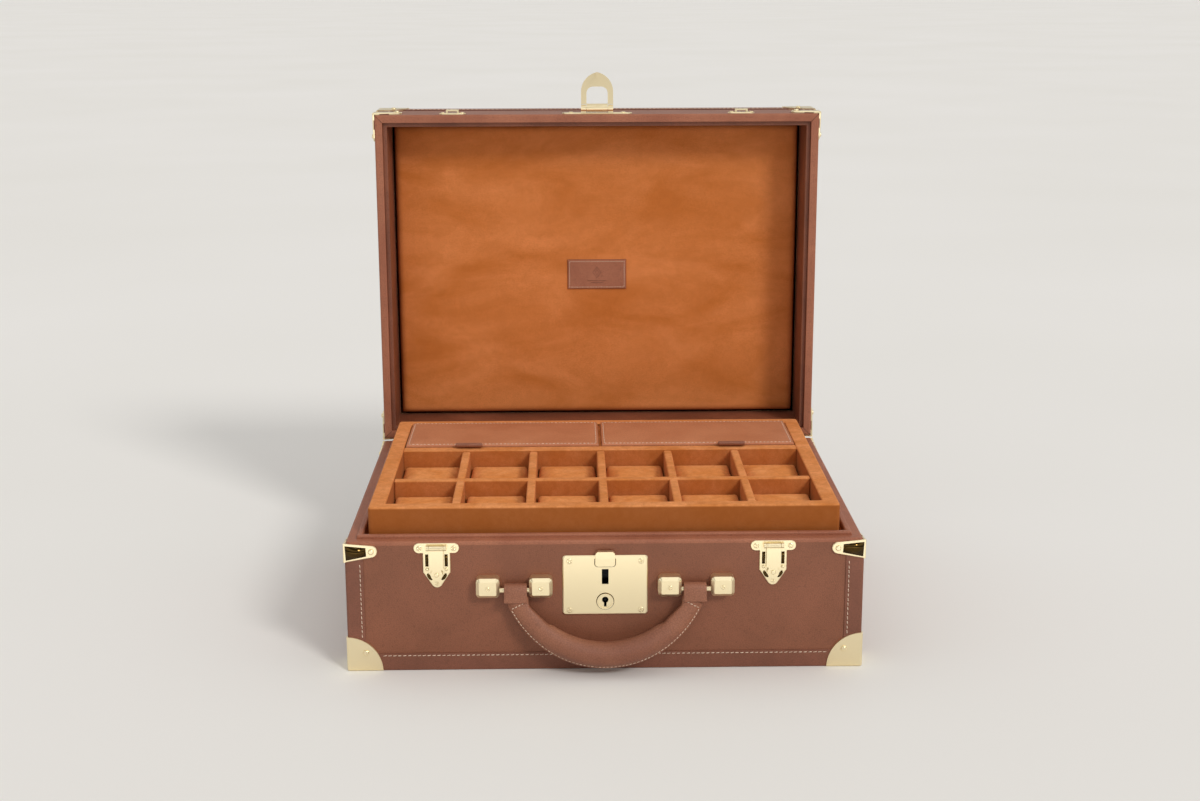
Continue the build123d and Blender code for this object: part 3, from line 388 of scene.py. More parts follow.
# Dark brass for thin strips that paint shade and dark reflections onto the brass fittings.
SHADE_BRASS = PolishedBrass("brass_painted_shade", "polished_brass", metal="54401a", worn="2e220c", smooth=0.1)
STEEL = SatinSteel("satin_steel", "steel")
BLUED_STEEL = SatinSteel("blued_steel", "steel", metal="2b2c2f", dulled="1a1b1d")
PLYWOOD = BirchPly("birch_ply", "plywood")
THREAD = WaxedThread("waxed_thread")


# ---------------------------------------------------------------- mesh tools

@dataclass
class Shape:
    """Points and faces of a mesh while it is being built."""

    points: list[Vector]
    faces: list[tuple[int, ...]]

    def moved(self, matrix: Matrix) -> "Shape":
        """Return a copy moved by a matrix."""
        return Shape([matrix @ p for p in self.points], list(self.faces))

    def add(self, other: "Shape") -> None:
        """Take in another shape's points and faces."""
        first = len(self.points)
        self.points.extend(other.points)
        self.faces.extend(tuple(first + k for k in face) for face in other.faces)


def place_object(name: str, data: bpy.types.ID) -> bpy.types.Object:
    """Put a mesh, lamp or lens in the scene as an object and return it."""
    made = bpy.data.objects.new(name, data)
    bpy.context.scene.collection.objects.link(made)
    return made


def make_piece(name: str, shape: Shape, finish: Finish, body: str,
               replaces: Sequence[str] = ()) -> bpy.types.Object:
    """Make an object from a shape, dress it and let it ride on a body.

    Args:
        name: Name of the piece.
        shape: Its mesh in the row frame.
        finish: Its finish.
        body: The body that it moves with.
        replaces: The plain solids that it stands for.

    Returns:
        The new object.
    """
    mesh = bpy.data.meshes.new(name)
    mesh.from_pydata([tuple(p) for p in shape.points], [], shape.faces)
    work = bmesh.new()
    work.from_mesh(mesh)
    bmesh.ops.recalc_face_normals(work, faces=work.faces)
    work.to_mesh(mesh)
    work.free()
    mesh.shade_smooth()
    piece = place_object(name, mesh)
    mesh.materials.append(finish.material())
    settle(piece, body, replaces)
    return piece


def settle(piece: bpy.types.Object, body: str, replaces: Sequence[str] = ()) -> None:
    """Let a piece ride on its body and hide the plain solids that it stands for.

    Args:
        piece: The piece.
        body: The body that it moves with.
        replaces: The plain solids that it stands for.
    """
    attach(piece, body)
    if replaces:
        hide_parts(*replaces)
    LOG.info("%s: %d faces, rides on %s", piece.name, len(piece.data.polygons), body)


def dress(nodes: Sequence[str], finish: Finish) -> None:
    """Give CAD nodes their finish.

    Args:
        nodes: Names of the nodes.
        finish: The finish that they get.
    """
    for name in nodes:
        node = frame["nodes"][name]
        if not node.material_slots:
            node.data.materials.append(None)
        for held in node.material_slots:
            held.material = finish.material()
        LOG.info("%s: finished as %s", name, finish.name)


def soften(nodes: Sequence[str], width: float, segments: int = 3) -> None:
    """Round the sharp edges of CAD nodes with modifiers, which leave their meshes alone.

    Args:
        nodes: Names of the nodes.
        width: Width of the rounding, in metres.
        segments: Faces across the rounding.
    """
    for name in nodes:
        node = frame["nodes"][name]
        weld = node.modifiers.new("weld", "WELD")
        weld.merge_threshold = 0.002 * MM
        flat = node.modifiers.new("flat", "DECIMATE")
        flat.decimate_type = "DISSOLVE"
        flat.angle_limit = math.radians(0.4)
        round_edge = node.modifiers.new("round", "BEVEL")
        round_edge.width = width
        round_edge.segments = segments
        round_edge.limit_method = "ANGLE"
        round_edge.angle_limit = math.radians(40)
        even = node.modifiers.new("even", "WEIGHTED_NORMAL")
        even.keep_sharp = False


def size_of(node: str) -> tuple[Vector, Vector]:
    """Return the centre and the size of a CAD node's box."""
    low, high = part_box(node)
    return (low + high) / 2, high - low


def islands(node: str) -> list[tuple[Vector, Vector]]:
    """Find the separate solids in a CAD node.

    Args:
        node: Name of the node.

    Returns:
        The lowest and highest corner of each solid.
    """
    work = bmesh.new()
    work.from_mesh(frame["nodes"][node].data)
    bmesh.ops.remove_doubles(work, verts=work.verts, dist=0.002 * MM)
    left = set(work.verts)
    found = []
    while left:
        batch = [left.pop()]
        group = []
        while batch:
            vert = batch.pop()
            group.append(vert.co.copy())
            near = [edge.other_vert(vert) for edge in vert.link_edges]
            fresh = [v for v in near if v in left]
            left.difference_update(fresh)
            batch.extend(fresh)
        low = Vector([min(p[k] for p in group) for k in range(3)])
        high = Vector([max(p[k] for p in group) for k in range(3)])
        found.append((low, high))
    work.free()
    return sorted(found, key=lambda pair: tuple(pair[0]))


def crowded(count: int) -> list[float]:
    """Return positions from -1 to 1 that crowd towards both ends."""
    steps = [2 * k / count - 1 for k in range(count + 1)]
    return [0.3 * s + 0.7 * math.sin(s * math.pi / 2) for s in steps]


def shoulder(distance: float, width: float) -> float:
    """Return a quarter-round rise from 0 at an edge to 1 at a width from it."""
    share = min(max(distance / width, 0.0), 1.0)
    return math.sqrt(1 - (1 - share) ** 2)


def padded_slab(size: tuple[float, float], thick: float, edge: float, cells: tuple[int, int],
                extra: Callable[[float, float], float] | None = None, pull: float = 0.0) -> Shape:
    """Draw a pad with a flat underside and a top that rolls over at its edges.

    Args:
        size: Width and depth.
        thick: Height in the middle.
        edge: Width of the rolled edge.
        cells: Cells along the width and the depth.
        extra: Height to add at a place, scaled down towards the edges.
        pull: How far the sides draw in between the corners.

    Returns:
        A closed shape, its underside on the plane z = 0.
    """
    half = (size[0] / 2, size[1] / 2)
    columns, rows = crowded(cells[0]), crowded(cells[1])
    points, index = [], {}
    for layer in (1, 0):
        for i, u in enumerate(columns):
            for j, v in enumerate(rows):
                border = i in (0, cells[0]) or j in (0, cells[1])
                if border and not layer:
                    index[layer, i, j] = index[1, i, j]
                    continue
                x = u * (half[0] - pull * (1 - v * v) * abs(u) ** 3)
                y = v * (half[1] - pull * (1 - u * u) * abs(v) ** 3)
                rise = shoulder(half[0] * (1 - abs(u)), edge) * shoulder(half[1] * (1 - abs(v)), edge)
                height = rise * (thick + (extra(x, y) if extra else 0.0)) if layer else 0.0
                index[layer, i, j] = len(points)
                points.append(Vector((x, y, height)))
    faces = []
    for layer in (1, 0):
        for i in range(cells[0]):
            for j in range(cells[1]):
                ring = [index[layer, i, j], index[layer, i + 1, j],
                        index[layer, i + 1, j + 1], index[layer, i, j + 1]]
                faces.append(tuple(ring if layer else reversed(ring)))
    return Shape(points, faces)


def sweep(sections: Sequence[Sequence[Vector]]) -> Shape:
    """Skin closed sections that follow one another and close both ends.

    Args:
        sections: Rings of the same number of points.

    Returns:
        The closed shape.
    """
    count = len(sections[0])
    shape = Shape([p for ring in sections for p in ring], [])
    for k in range(len(sections) - 1):
        for i in range(count):
            j = (i + 1) % count
            shape.faces.append((k * count + i, k * count + j, (k + 1) * count + j, (k + 1) * count + i))
    last = (len(sections) - 1) * count
    shape.faces.append(tuple(reversed(range(count))))
    shape.faces.append(tuple(range(last, last + count)))
    return shape


def ribbon(points: Sequence[Vector], widths: Sequence[float], normal: Vector, thick: float) -> Shape:
    """Lay a thin flat strip on a surface.

    Args:
        points: The strip's middle line, on the surface.
        widths: Its half width at each point.
        normal: The surface's normal.
        thick: How far it stands out; it sinks in by as much.

    Returns:
        The closed strip.
    """
    rings = []
    for k, (point, half) in enumerate(zip(points, widths)):
        along = (points[min(k + 1, len(points) - 1)] - points[max(k - 1, 0)]).normalized()
        side, out = along.cross(normal).normalized() * half, normal * thick
        rings.append([point - side - out, point + side - out, point + side + out, point - side + out])
    return sweep(rings)


def straight(start: Vector, stop: Vector, normal: Vector, count: int = 2) -> list[Spot]:
    """Return spots along a straight line on a flat surface."""
    return [(start.lerp(stop, k / (count - 1)), normal) for k in range(count)]


@dataclass(frozen=True)
class StitchRun:
    """A row of saddle stitches, sewn by hand with two needles."""

    pitch: float = 3.8 * MM
    length: float = 2.9 * MM
    radius: float = 0.33 * MM
    slant: float = 0.13

    def sew(self, route: Sequence[Spot]) -> Shape:
        """Lay stitches along a route.

        Args:
            route: Spots along the seam.

        Returns:
            All stitches as one shape.
        """
        spans = [(route[k + 1][0] - route[k][0]).length for k in range(len(route) - 1)]
        total = sum(spans)
        count = max(1, round(total / self.pitch))
        shape = Shape([], [])
        for k in range(count):
            aim = (k + 0.5) / count * total
            place = 0
            while place < len(spans) - 1 and aim > spans[place]:
                aim -= spans[place]
                place += 1
            share = aim / spans[place]
            (first, normal_a), (second, normal_b) = route[place], route[place + 1]
            normal = normal_a.lerp(normal_b, share).normalized()
            along = (second - first).normalized()
            shape.add(self.stitch(first.lerp(second, share), along, normal))
        return shape

    def stitch(self, middle: Vector, along: Vector, normal: Vector) -> Shape:
        """Draw one stitch: a short cord that dips into the leather at both ends.

        Args:
            middle: Middle of the stitch, on the surface.
            along: Direction of the seam.
            normal: The surface's normal.

        Returns:
            The stitch.
        """
        across = normal.cross(along).normalized()
        lie = (along * math.cos(self.slant) + across * math.sin(self.slant)).normalized()
        side = normal.cross(lie).normalized()
        steps = ((-1.0, -0.9, 0.45), (-0.72, 0.25, 0.95), (0.0, 0.55, 1.0), (0.72, 0.25, 0.95),
                 (1.0, -0.9, 0.45))         # place along the stitch, lift and girth
        rings = []
        for share, lift, girth in steps:
            hub = middle + lie * (share * self.length / 2) + normal * (lift * self.radius)
            rings.append([hub + (side * math.cos(t) + normal * math.sin(t)) * (girth * self.radius)
                          for t in (k * math.tau / 6 for k in range(6))])
        return sweep(rings)


# ---------------------------------------------------------------- the case

class Half(Enum):
    """The two halves of the case."""

    BASE = "base"
    LID = "lid"


@dataclass
class Shell:
    """Wooden boxes of base and lid with their leather, edge bands, rims and linings."""

    seam_inset: float = 12.2 * MM       # seam line from the case's edge, on the bands
    upright_inset: float = 11.6 * MM
    cap_radius: float = 28.0 * MM
    tongue_low: float = 89.0 * MM       # lowest point of the rim's brass tongues
    brass_gap: float = 1.5 * MM         # seams end this far from the brass
    rim_gap: float = 17.5 * MM          # lid's upright seams start this far from its rim
    band_round: float = 0.35 * MM
    rim_round: float = 0.5 * MM
    lift: float = 0.05 * MM
    mitre_ends: tuple[float, float] = (1.2 * MM, 7.0 * MM)
    mitre_half: float = 0.22 * MM
    mitre_lift: float = 0.03 * MM
    mitre_depth: float = 0.4 * MM

    def build(self) -> None:
        """Dress the nodes and sew the seams of both halves."""
        dress(["base_box", "lid_box"], PLYWOOD)
        dress(["base_bottom_leather", "base_side_leather", "lid_leather"], PANEL_LEATHER)
        dress(["base_edge_bands", "lid_edge_bands"], BAND_LEATHER)
        dress(["base_rim", "base_lip", "lid_rim"], RIM_LEATHER)
        dress(["lid_lining"], WALL_SHADE_LEATHER)
        dress(["base_lining"], LINING_SUEDE)
        soften(["base_edge_bands", "lid_edge_bands"], self.band_round)
        soften(["base_lip", "lid_lining", "lid_rim"], self.rim_round)
        self.sew_half(Half.BASE)
        self.sew_half(Half.LID)
        self.mark_mitres()

    def to_open(self) -> Matrix:
        """Return the turn that opens a piece drawn on the shut lid."""
        pivot = next(Vector(j["pos_m"]) for j in frame["joints"] if j["name"] == "lid_hinge")
        turn = Matrix.Rotation(math.radians(-90), 4, "X")
        return Matrix.Translation(pivot) @ turn @ Matrix.Translation(-pivot)

    def sew_half(self, half: Half) -> None:
        """Sew the band seams of one half.

        Args:
            half: The half to sew.
        """
        shut = self.to_open().inverted() if half is Half.LID else Matrix.Identity(4)
        low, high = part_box(f"{half.value}_edge_bands")
        corners = [shut @ low, shut @ high]
        reach = Vector([max(abs(c[k]) for c in corners) for k in range(2)] + [0])
        top = max(c.z for c in corners)
        clear = math.sqrt(self.cap_radius ** 2 - self.seam_inset ** 2) + self.brass_gap
        if half is Half.BASE:
            seam, posts = self.seam_inset, (clear, self.tongue_low - self.brass_gap)
        else:
            flat_of_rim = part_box("lid_rim")[0].y
            rim = (shut @ Vector((0, flat_of_rim, 0))).z
            seam, posts = top - self.seam_inset, (rim + self.rim_gap, top - clear)
        thread = StitchRun()
        shape = Shape([], [])
        for turn in range(4):
            spin = Matrix.Rotation(turn * math.pi / 2, 4, "Z")
            wide, deep = (reach.x, reach.y) if turn % 2 == 0 else (reach.y, reach.x)
            out = Vector((0, -1, 0))
            face_y = -deep - self.lift
            end = wide - clear
            routes = [straight(Vector((-end, face_y, seam)), Vector((end, face_y, seam)), out)]
            for side in (-1, 1):
                x = side * (wide - self.upright_inset)
                routes.append(straight(Vector((x, face_y, posts[0])), Vector((x, face_y, posts[1])), out))
            if half is Half.LID:
                y = -(deep - self.seam_inset)
                z = top + self.lift
                routes.append(straight(Vector((-end, y, z)), Vector((end, y, z)), Vector((0, 0, 1))))
            for route in routes:
                shape.add(thread.sew([(spin @ p, spin @ n) for p, n in route]))
        placed = shape.moved(shut.inverted())
        make_piece(f"{half.value}_stitching", placed, THREAD, half.value)

    def mark_mitres(self) -> None:
        """Draw the dark joint where the rim's leather is mitred at each corner."""
        low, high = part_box("lid_rim")
        near, far = self.mitre_ends
        seam = Shape([], [])
        y = low.y - self.mitre_lift
        for x_side in (-1, 1):
            for corner_z, inward in ((low.z, 1), (high.z, -1)):
                start = Vector((x_side * (high.x - near), y, corner_z + inward * near))
                stop = Vector((x_side * (high.x - far), y, corner_z + inward * far))
                along = (stop - start).normalized()
                across = along.cross(Vector((0, 1, 0))).normalized() * self.mitre_half
                depth = Vector((0, self.mitre_depth, 0))
                rings = [[p - across, p + across, p + across + depth, p - across + depth]
                         for p in (start, stop)]
                seam.add(sweep(rings))
        make_piece("lid_rim_mitres", seam, STAMPED_LEATHER, "lid")


@dataclass
class LidInside:
    """Padded suede panel in the lid, its leather label and the padded floor of the base."""

    panel_edge: float = 6.5 * MM
    board: float = 0.8 * MM             # board that the pad is glued to, darkened with the walls' painted shade
    board_over: float = 0.7 * MM
    panel_gap: float = 1.3 * MM         # dark joint between the pad and the lid's walls
    floor_edge: float = 6.0 * MM
    ripple: float = 0.5 * MM
    board_edge: float = 0.3 * MM
    cells: tuple[int, int] = (84, 64)
    label_inset: float = 1.9 * MM
    label_edge: float = 0.9 * MM
    stamp_lift: float = 0.03 * MM
    stamp_depth: float = 0.2 * MM
    lozenge_up: float = 1.8 * MM
    bar_width: float = 0.45 * MM

    def build(self) -> None:
        """Make the panel, the label and the floor pad."""
        self.build_panel()
        self.build_label()
        self.build_floor_pad()

    def swell(self, x: float, y: float) -> float:
        """Return the slow unevenness of foam under stretched suede."""
        waves = math.sin(x * 31 + 1.1) * math.cos(y * 27 - 0.6) + 0.6 * math.sin(x * 63 - y * 49 + 2.0)
        return self.ripple * waves * 0.6

    def build_panel(self) -> None:
        """Make the panel: a thin crowned pad that rolls in along its edges."""
        centre, size = size_of("lid_panel")
        sides = (size.x - 2 * self.panel_gap, size.z - 2 * self.panel_gap)
        shape = padded_slab(sides, size.y - self.ripple, self.panel_edge, self.cells, self.swell)
        place = Matrix.Translation((centre.x, centre.y + size.y / 2, centre.z)) @ FACING_FRONT
        wide, tall = size.x + self.board_over, size.z + self.board_over
        board = padded_slab((wide, tall), self.board, self.board_edge, (8, 8))
        make_piece("lid_panel_board", board.moved(place), WALL_SHADE_LEATHER, "lid")
        panel = make_piece("lid_padded_panel", shape.moved(place), LINING_SUEDE, "lid", ["lid_panel"])

    def build_floor_pad(self) -> None:
        """Make the pad on the floor of the base."""
        centre, size = size_of("base_floor_pad")
        shape = padded_slab((size.x, size.y), size.z - self.ripple, self.floor_edge, self.cells, self.swell)
        place = Matrix.Translation((centre.x, centre.y, centre.z - size.z / 2))
        pad = make_piece("base_padded_floor", shape.moved(place), LINING_SUEDE, "base", ["base_floor_pad"])

    def build_label(self) -> None:
        """Make the leather label with its sewn border and a plain stamped lozenge."""
        centre, size = size_of("lid_label")
        place = Matrix.Translation((centre.x, centre.y + size.y / 2, centre.z)) @ FACING_FRONT
        plate = padded_slab((size.x, size.z), size.y, self.label_edge, (56, 32))
        make_piece("lid_leather_label", plate.moved(place), RIM_LEATHER, "lid", ["lid_label"])
        half = (size.x / 2 - self.label_inset, size.z / 2 - self.label_inset)
        top = size.y + self.stamp_lift
        thread = StitchRun(2.5 * MM, 1.8 * MM, 0.26 * MM)
        sewn = thread.sew(rectangle_route(half, top))
        make_piece("lid_label_stitching", sewn.moved(place), THREAD, "lid")
        stamp = Shape([], [])
        for radius, width in ((5.2 * MM, 0.5 * MM), (2.6 * MM, 0.4 * MM)):
            stamp.add(self.lozenge(radius, width, top).moved(Matrix.Translation((0, self.lozenge_up, 0))))
        for reach, drop in ((9.0 * MM, -6.4 * MM), (5.5 * MM, -8.2 * MM)):
            stamp.add(self.bar(reach, drop, top))
        make_piece("lid_label_stamp", stamp.moved(place), STAMPED_LEATHER, "lid")

    def lozenge(self, radius: float, width: float, top: float) -> Shape:
        """Draw a raised lozenge outline.

        Args:
            radius: Half height of the lozenge.
            width: Width of its line.
            top: Height of the label's face.

        Returns:
            The outline as a closed ring.
        """
        rings = []
        for k in range(4):
            aim = Vector((math.sin(k * math.pi / 2) * 0.8, math.cos(k * math.pi / 2), 0))
            outer, inner = aim * radius, aim * (radius - width)
            low, high = Vector((0, 0, top - self.stamp_depth)), Vector((0, 0, top))
            rings.append([inner + low, outer + low, outer + high, inner + high])
        shape = Shape([p for ring in rings for p in ring], [])
        for k in range(4):
            for i in range(4):
                j = (i + 1) % 4
                after = (k + 1) % 4
                shape.faces.append((k * 4 + i, k * 4 + j, after * 4 + j, after * 4 + i))
        return shape

    def bar(self, reach: float, y: float, top: float) -> Shape:
        """Draw a thin raised bar, centred on x = 0."""
        foot, upper = top - self.stamp_depth, y + self.bar_width
        corners = ((y, foot), (upper, foot), (upper, top), (y, top))
        return sweep([[Vector((x, across, z)) for across, z in corners] for x in (-reach, reach)])


def rectangle_route(half: tuple[float, float], z: float, gap: float = 0.0) -> list[Spot]:
    """Return a closed route round a rectangle that faces +Z.

    Args:
        half: Half width and half depth.
        z: Height of the surface.
        gap: Radius of the corners.

    Returns:
        Spots round the rectangle, the first one again at the end.
    """
    up = Vector((0, 0, 1))
    spots = []
    corners = ((1, -1, -90), (1, 1, 0), (-1, 1, 90), (-1, -1, 180))
    for sx, sy, start in corners:
        hub = Vector((sx * (half[0] - gap), sy * (half[1] - gap), z))
        for k in range(4):
            turn = math.radians(start + 30 * k)
            spots.append((hub + Vector((math.cos(turn), math.sin(turn), 0)) * max(gap, 0.01 * MM), up))
    return spots + [spots[0]]


@dataclass
class Tray:
    """Lift-out tray of suede-covered boards with foam cushions and two leather flaps."""

    board_round: float = 1.6 * MM
    cushion_edge: float = 2.0 * MM
    voxel: float = 2.2 * MM
    pressure: float = 4.0
    frames: int = 20
    cap: float = 3.0 * MM
    clearance: float = 0.15 * MM
    slack: float = 0.985                # size of a cushion before it is filled
    glued: float = 1.2 * MM             # height of the foot that is held down
    head_room: float = 1.5 * MM
    cushion_pull: float = 0.25 * MM
    pad_edge: float = 3.0 * MM
    flap_edge: float = 1.3 * MM
    padding_rise: float = 14.0 * MM
    seam_inset: float = 2.6 * MM
    seam_width: float = 1.1 * MM
    seam_depth: float = 0.35 * MM
    crown: float = 0.5 * MM
    pull_fullness: float = 1.25

    def build(self) -> None:
        """Dress the boards and make the cushions, bay pads, flaps and pulls."""
        boards = ["tray_frame", "tray_middle_divider", "tray_front_dividers", "tray_back_dividers",
                  "tray_shelf", "tray_bay_divider"]
        dress([boards[0], "tray_ledges"], BOARD_SUEDE)
        dress(boards[1:], DIVIDER_SUEDE)
        soften(boards, self.board_round, 4)
        soften(["tray_ledges"], 0.8 * MM)
        self.build_cushions()
        self.build_bay_pads()
        for side in ("left", "right"):
            self.build_flap(side)
            self.build_pull(side)

    def build_cushions(self) -> None:
        """Swell one cushion for each row of wells and copy it into the others."""
        wells = islands("well_cushions")
        rows: dict[float, list[tuple[Vector, Vector]]] = {}
        for low, high in wells:
            rows.setdefault(round(low.y, 4), []).append((low, high))
        for row in sorted(rows):
            low, high = rows[row][0]
            size = high - low
            shape = padded_slab((size.x, size.y), size.z, self.cushion_edge, (20, 24),
                                pull=self.cushion_pull)
            cushion = self.swell(shape, size)
            for k, (low, high) in enumerate(sorted(rows[row], key=lambda pair: pair[0].x)):
                turn = Matrix.Rotation(math.pi * (k % 2), 4, "Z")
                middle = Vector(((low.x + high.x) / 2, (low.y + high.y) / 2, low.z))
                name = f"well_cushion_{'front' if row < -0.1 else 'back'}_{k + 1}"
                placed = cushion.moved(Matrix.Translation(middle) @ turn)
                piece = make_piece(name, placed, CUSHION_SUEDE, "tray")
        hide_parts("well_cushions")

    def swell(self, shape: Shape, size: Vector) -> Shape:
        """Blow a cushion up with a cloth simulation, held at its underside.

        Args:
            shape: The cushion before it is filled, its underside on z = 0.
            size: Room that the cushion may take.

        Returns:
            The filled cushion.
        """
        mesh = bpy.data.meshes.new("filling")
        mesh.from_pydata([tuple(p * self.slack) for p in shape.points], [], shape.faces)
        piece = place_object("filling", mesh)
        remesh = piece.modifiers.new("remesh", "REMESH")
        remesh.mode = "VOXEL"
        remesh.voxel_size = self.voxel
        mesh = self.applied(piece)
        piece.modifiers.clear()
        piece.data = mesh
        rest = [v.co.copy() for v in mesh.vertices]
        floor = [k for k, p in enumerate(rest) if p.z < self.glued]
        held = piece.vertex_groups.new(name="held")
        held.add(floor, 1.0, "REPLACE")
        cloth = piece.modifiers.new("cloth", "CLOTH")
        cloth.settings.vertex_group_mass = "held"
        cloth.settings.use_pressure = True
        cloth.settings.uniform_pressure_force = self.pressure
        cloth.settings.effector_weights.gravity = 0
        cloth.point_cache.frame_end = self.frames
        scene = bpy.context.scene
        for k in range(1, self.frames + 1):
            scene.frame_set(k)
        swollen = self.applied(piece)
        room = (size.x / 2 - self.clearance, size.y / 2 - self.clearance)
        points = []
        for start, vert in zip(rest, swollen.vertices):
            move = vert.co - start
            if move.length > self.cap:
                move *= self.cap / move.length
            end = start + move
            x = min(max(end.x, -room[0]), room[0])
            y = min(max(end.y, -room[1]), room[1])
            points.append(Vector((x, y, min(max(end.z, 0.0), size.z + self.head_room))))
        faces = [tuple(polygon.vertices) for polygon in swollen.polygons]
        bpy.data.objects.remove(piece)
        scene.frame_set(1)
        return Shape(points, faces)

    def applied(self, piece: bpy.types.Object) -> bpy.types.Mesh:
        """Return a piece's mesh with its modifiers applied."""
        graph = bpy.context.evaluated_depsgraph_get()
        graph.update()
        return bpy.data.meshes.new_from_object(piece.evaluated_get(graph))

    def build_bay_pads(self) -> None:
        """Make the two pads under the flaps."""
        for k, (low, high) in enumerate(islands("bay_pads")):
            size = high - low
            shape = padded_slab((size.x, size.y), size.z, self.pad_edge, (36, 22))
            middle = Vector(((low.x + high.x) / 2, (low.y + high.y) / 2, low.z))
            name = f"bay_pad_{('left', 'right')[k]}"
            pad = make_piece(name, shape.moved(Matrix.Translation(middle)), CUSHION_SUEDE, "tray")
            if k == 0:
                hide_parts("bay_pads")

    def build_flap(self, side: str) -> None:
        """Make one leather flap, pressed in along its sewn border.

        Args:
            side: "left" or "right".
        """
        body = f"flap_{side}"
        centre, size = size_of(body)
        half = (size.x / 2, size.y / 2)

        def pressed(x: float, y: float) -> float:
            """Height that the padding adds and the seam takes away."""
            inset = min(half[0] - abs(x), half[1] - abs(y))
            dip = math.exp(-((inset - self.seam_inset) / self.seam_width) ** 2)
            fullness = shoulder(inset - self.seam_inset, self.padding_rise)
            return self.crown * fullness - self.seam_depth * dip

        shape = padded_slab((size.x, size.y), size.z, self.flap_edge, (110, 66), pressed)
        place = Matrix.Translation((centre.x, centre.y, centre.z - size.z / 2))
        make_piece(f"flap_leather_{side}", shape.moved(place), FLAP_LEATHER, body, [body])
        route = rectangle_route((half[0] - self.seam_inset, half[1] - self.seam_inset),
                                size.z - self.seam_depth + 0.06 * MM, 2.0 * MM)
        thread = StitchRun(3.3 * MM, 2.4 * MM, 0.3 * MM)
        make_piece(f"flap_stitching_{side}", thread.sew(route).moved(place), THREAD, body)

    def build_pull(self, side: str) -> None:
        """Make one rolled leather pull.

        Args:
            side: "left" or "right".
        """
        node = f"flap_pull_{side}"
        low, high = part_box(node)
        radius = (high.z - low.z) / 2 * self.pull_fullness
        hub = Vector((0, low.y + radius, low.z + radius))
        outline = []
        for k in range(11):
            turn = math.radians(90 + 240 * k / 10)
            outline.append(hub + Vector((0, math.cos(turn), math.sin(turn))) * radius)
        tail = low.z + 1.0 * MM
        outline += [Vector((0, high.y - 1 * MM, low.z)), Vector((0, high.y, low.z + 0.5 * MM)),
                    Vector((0, high.y - 1 * MM, tail)), Vector((0, hub.y + radius * 1.3, tail)),
                    Vector((0, hub.y + radius * 0.9, hub.z + radius * 0.3))]
        steps = [(0.0, 0.72), (0.35 * MM, 0.9), (1.0 * MM, 1.0)]
        width = high.x - low.x
        stations = steps + [(width - inset, share) for inset, share in reversed(steps)]
        rings = []
        for along, share in stations:
            shift = Vector((low.x + along, 0, 0))
            rings.append([hub + (p - hub) * share + shift for p in outline])
        make_piece(f"flap_rolled_pull_{side}", sweep(rings), GRIP_LEATHER, f"flap_{side}", [node])


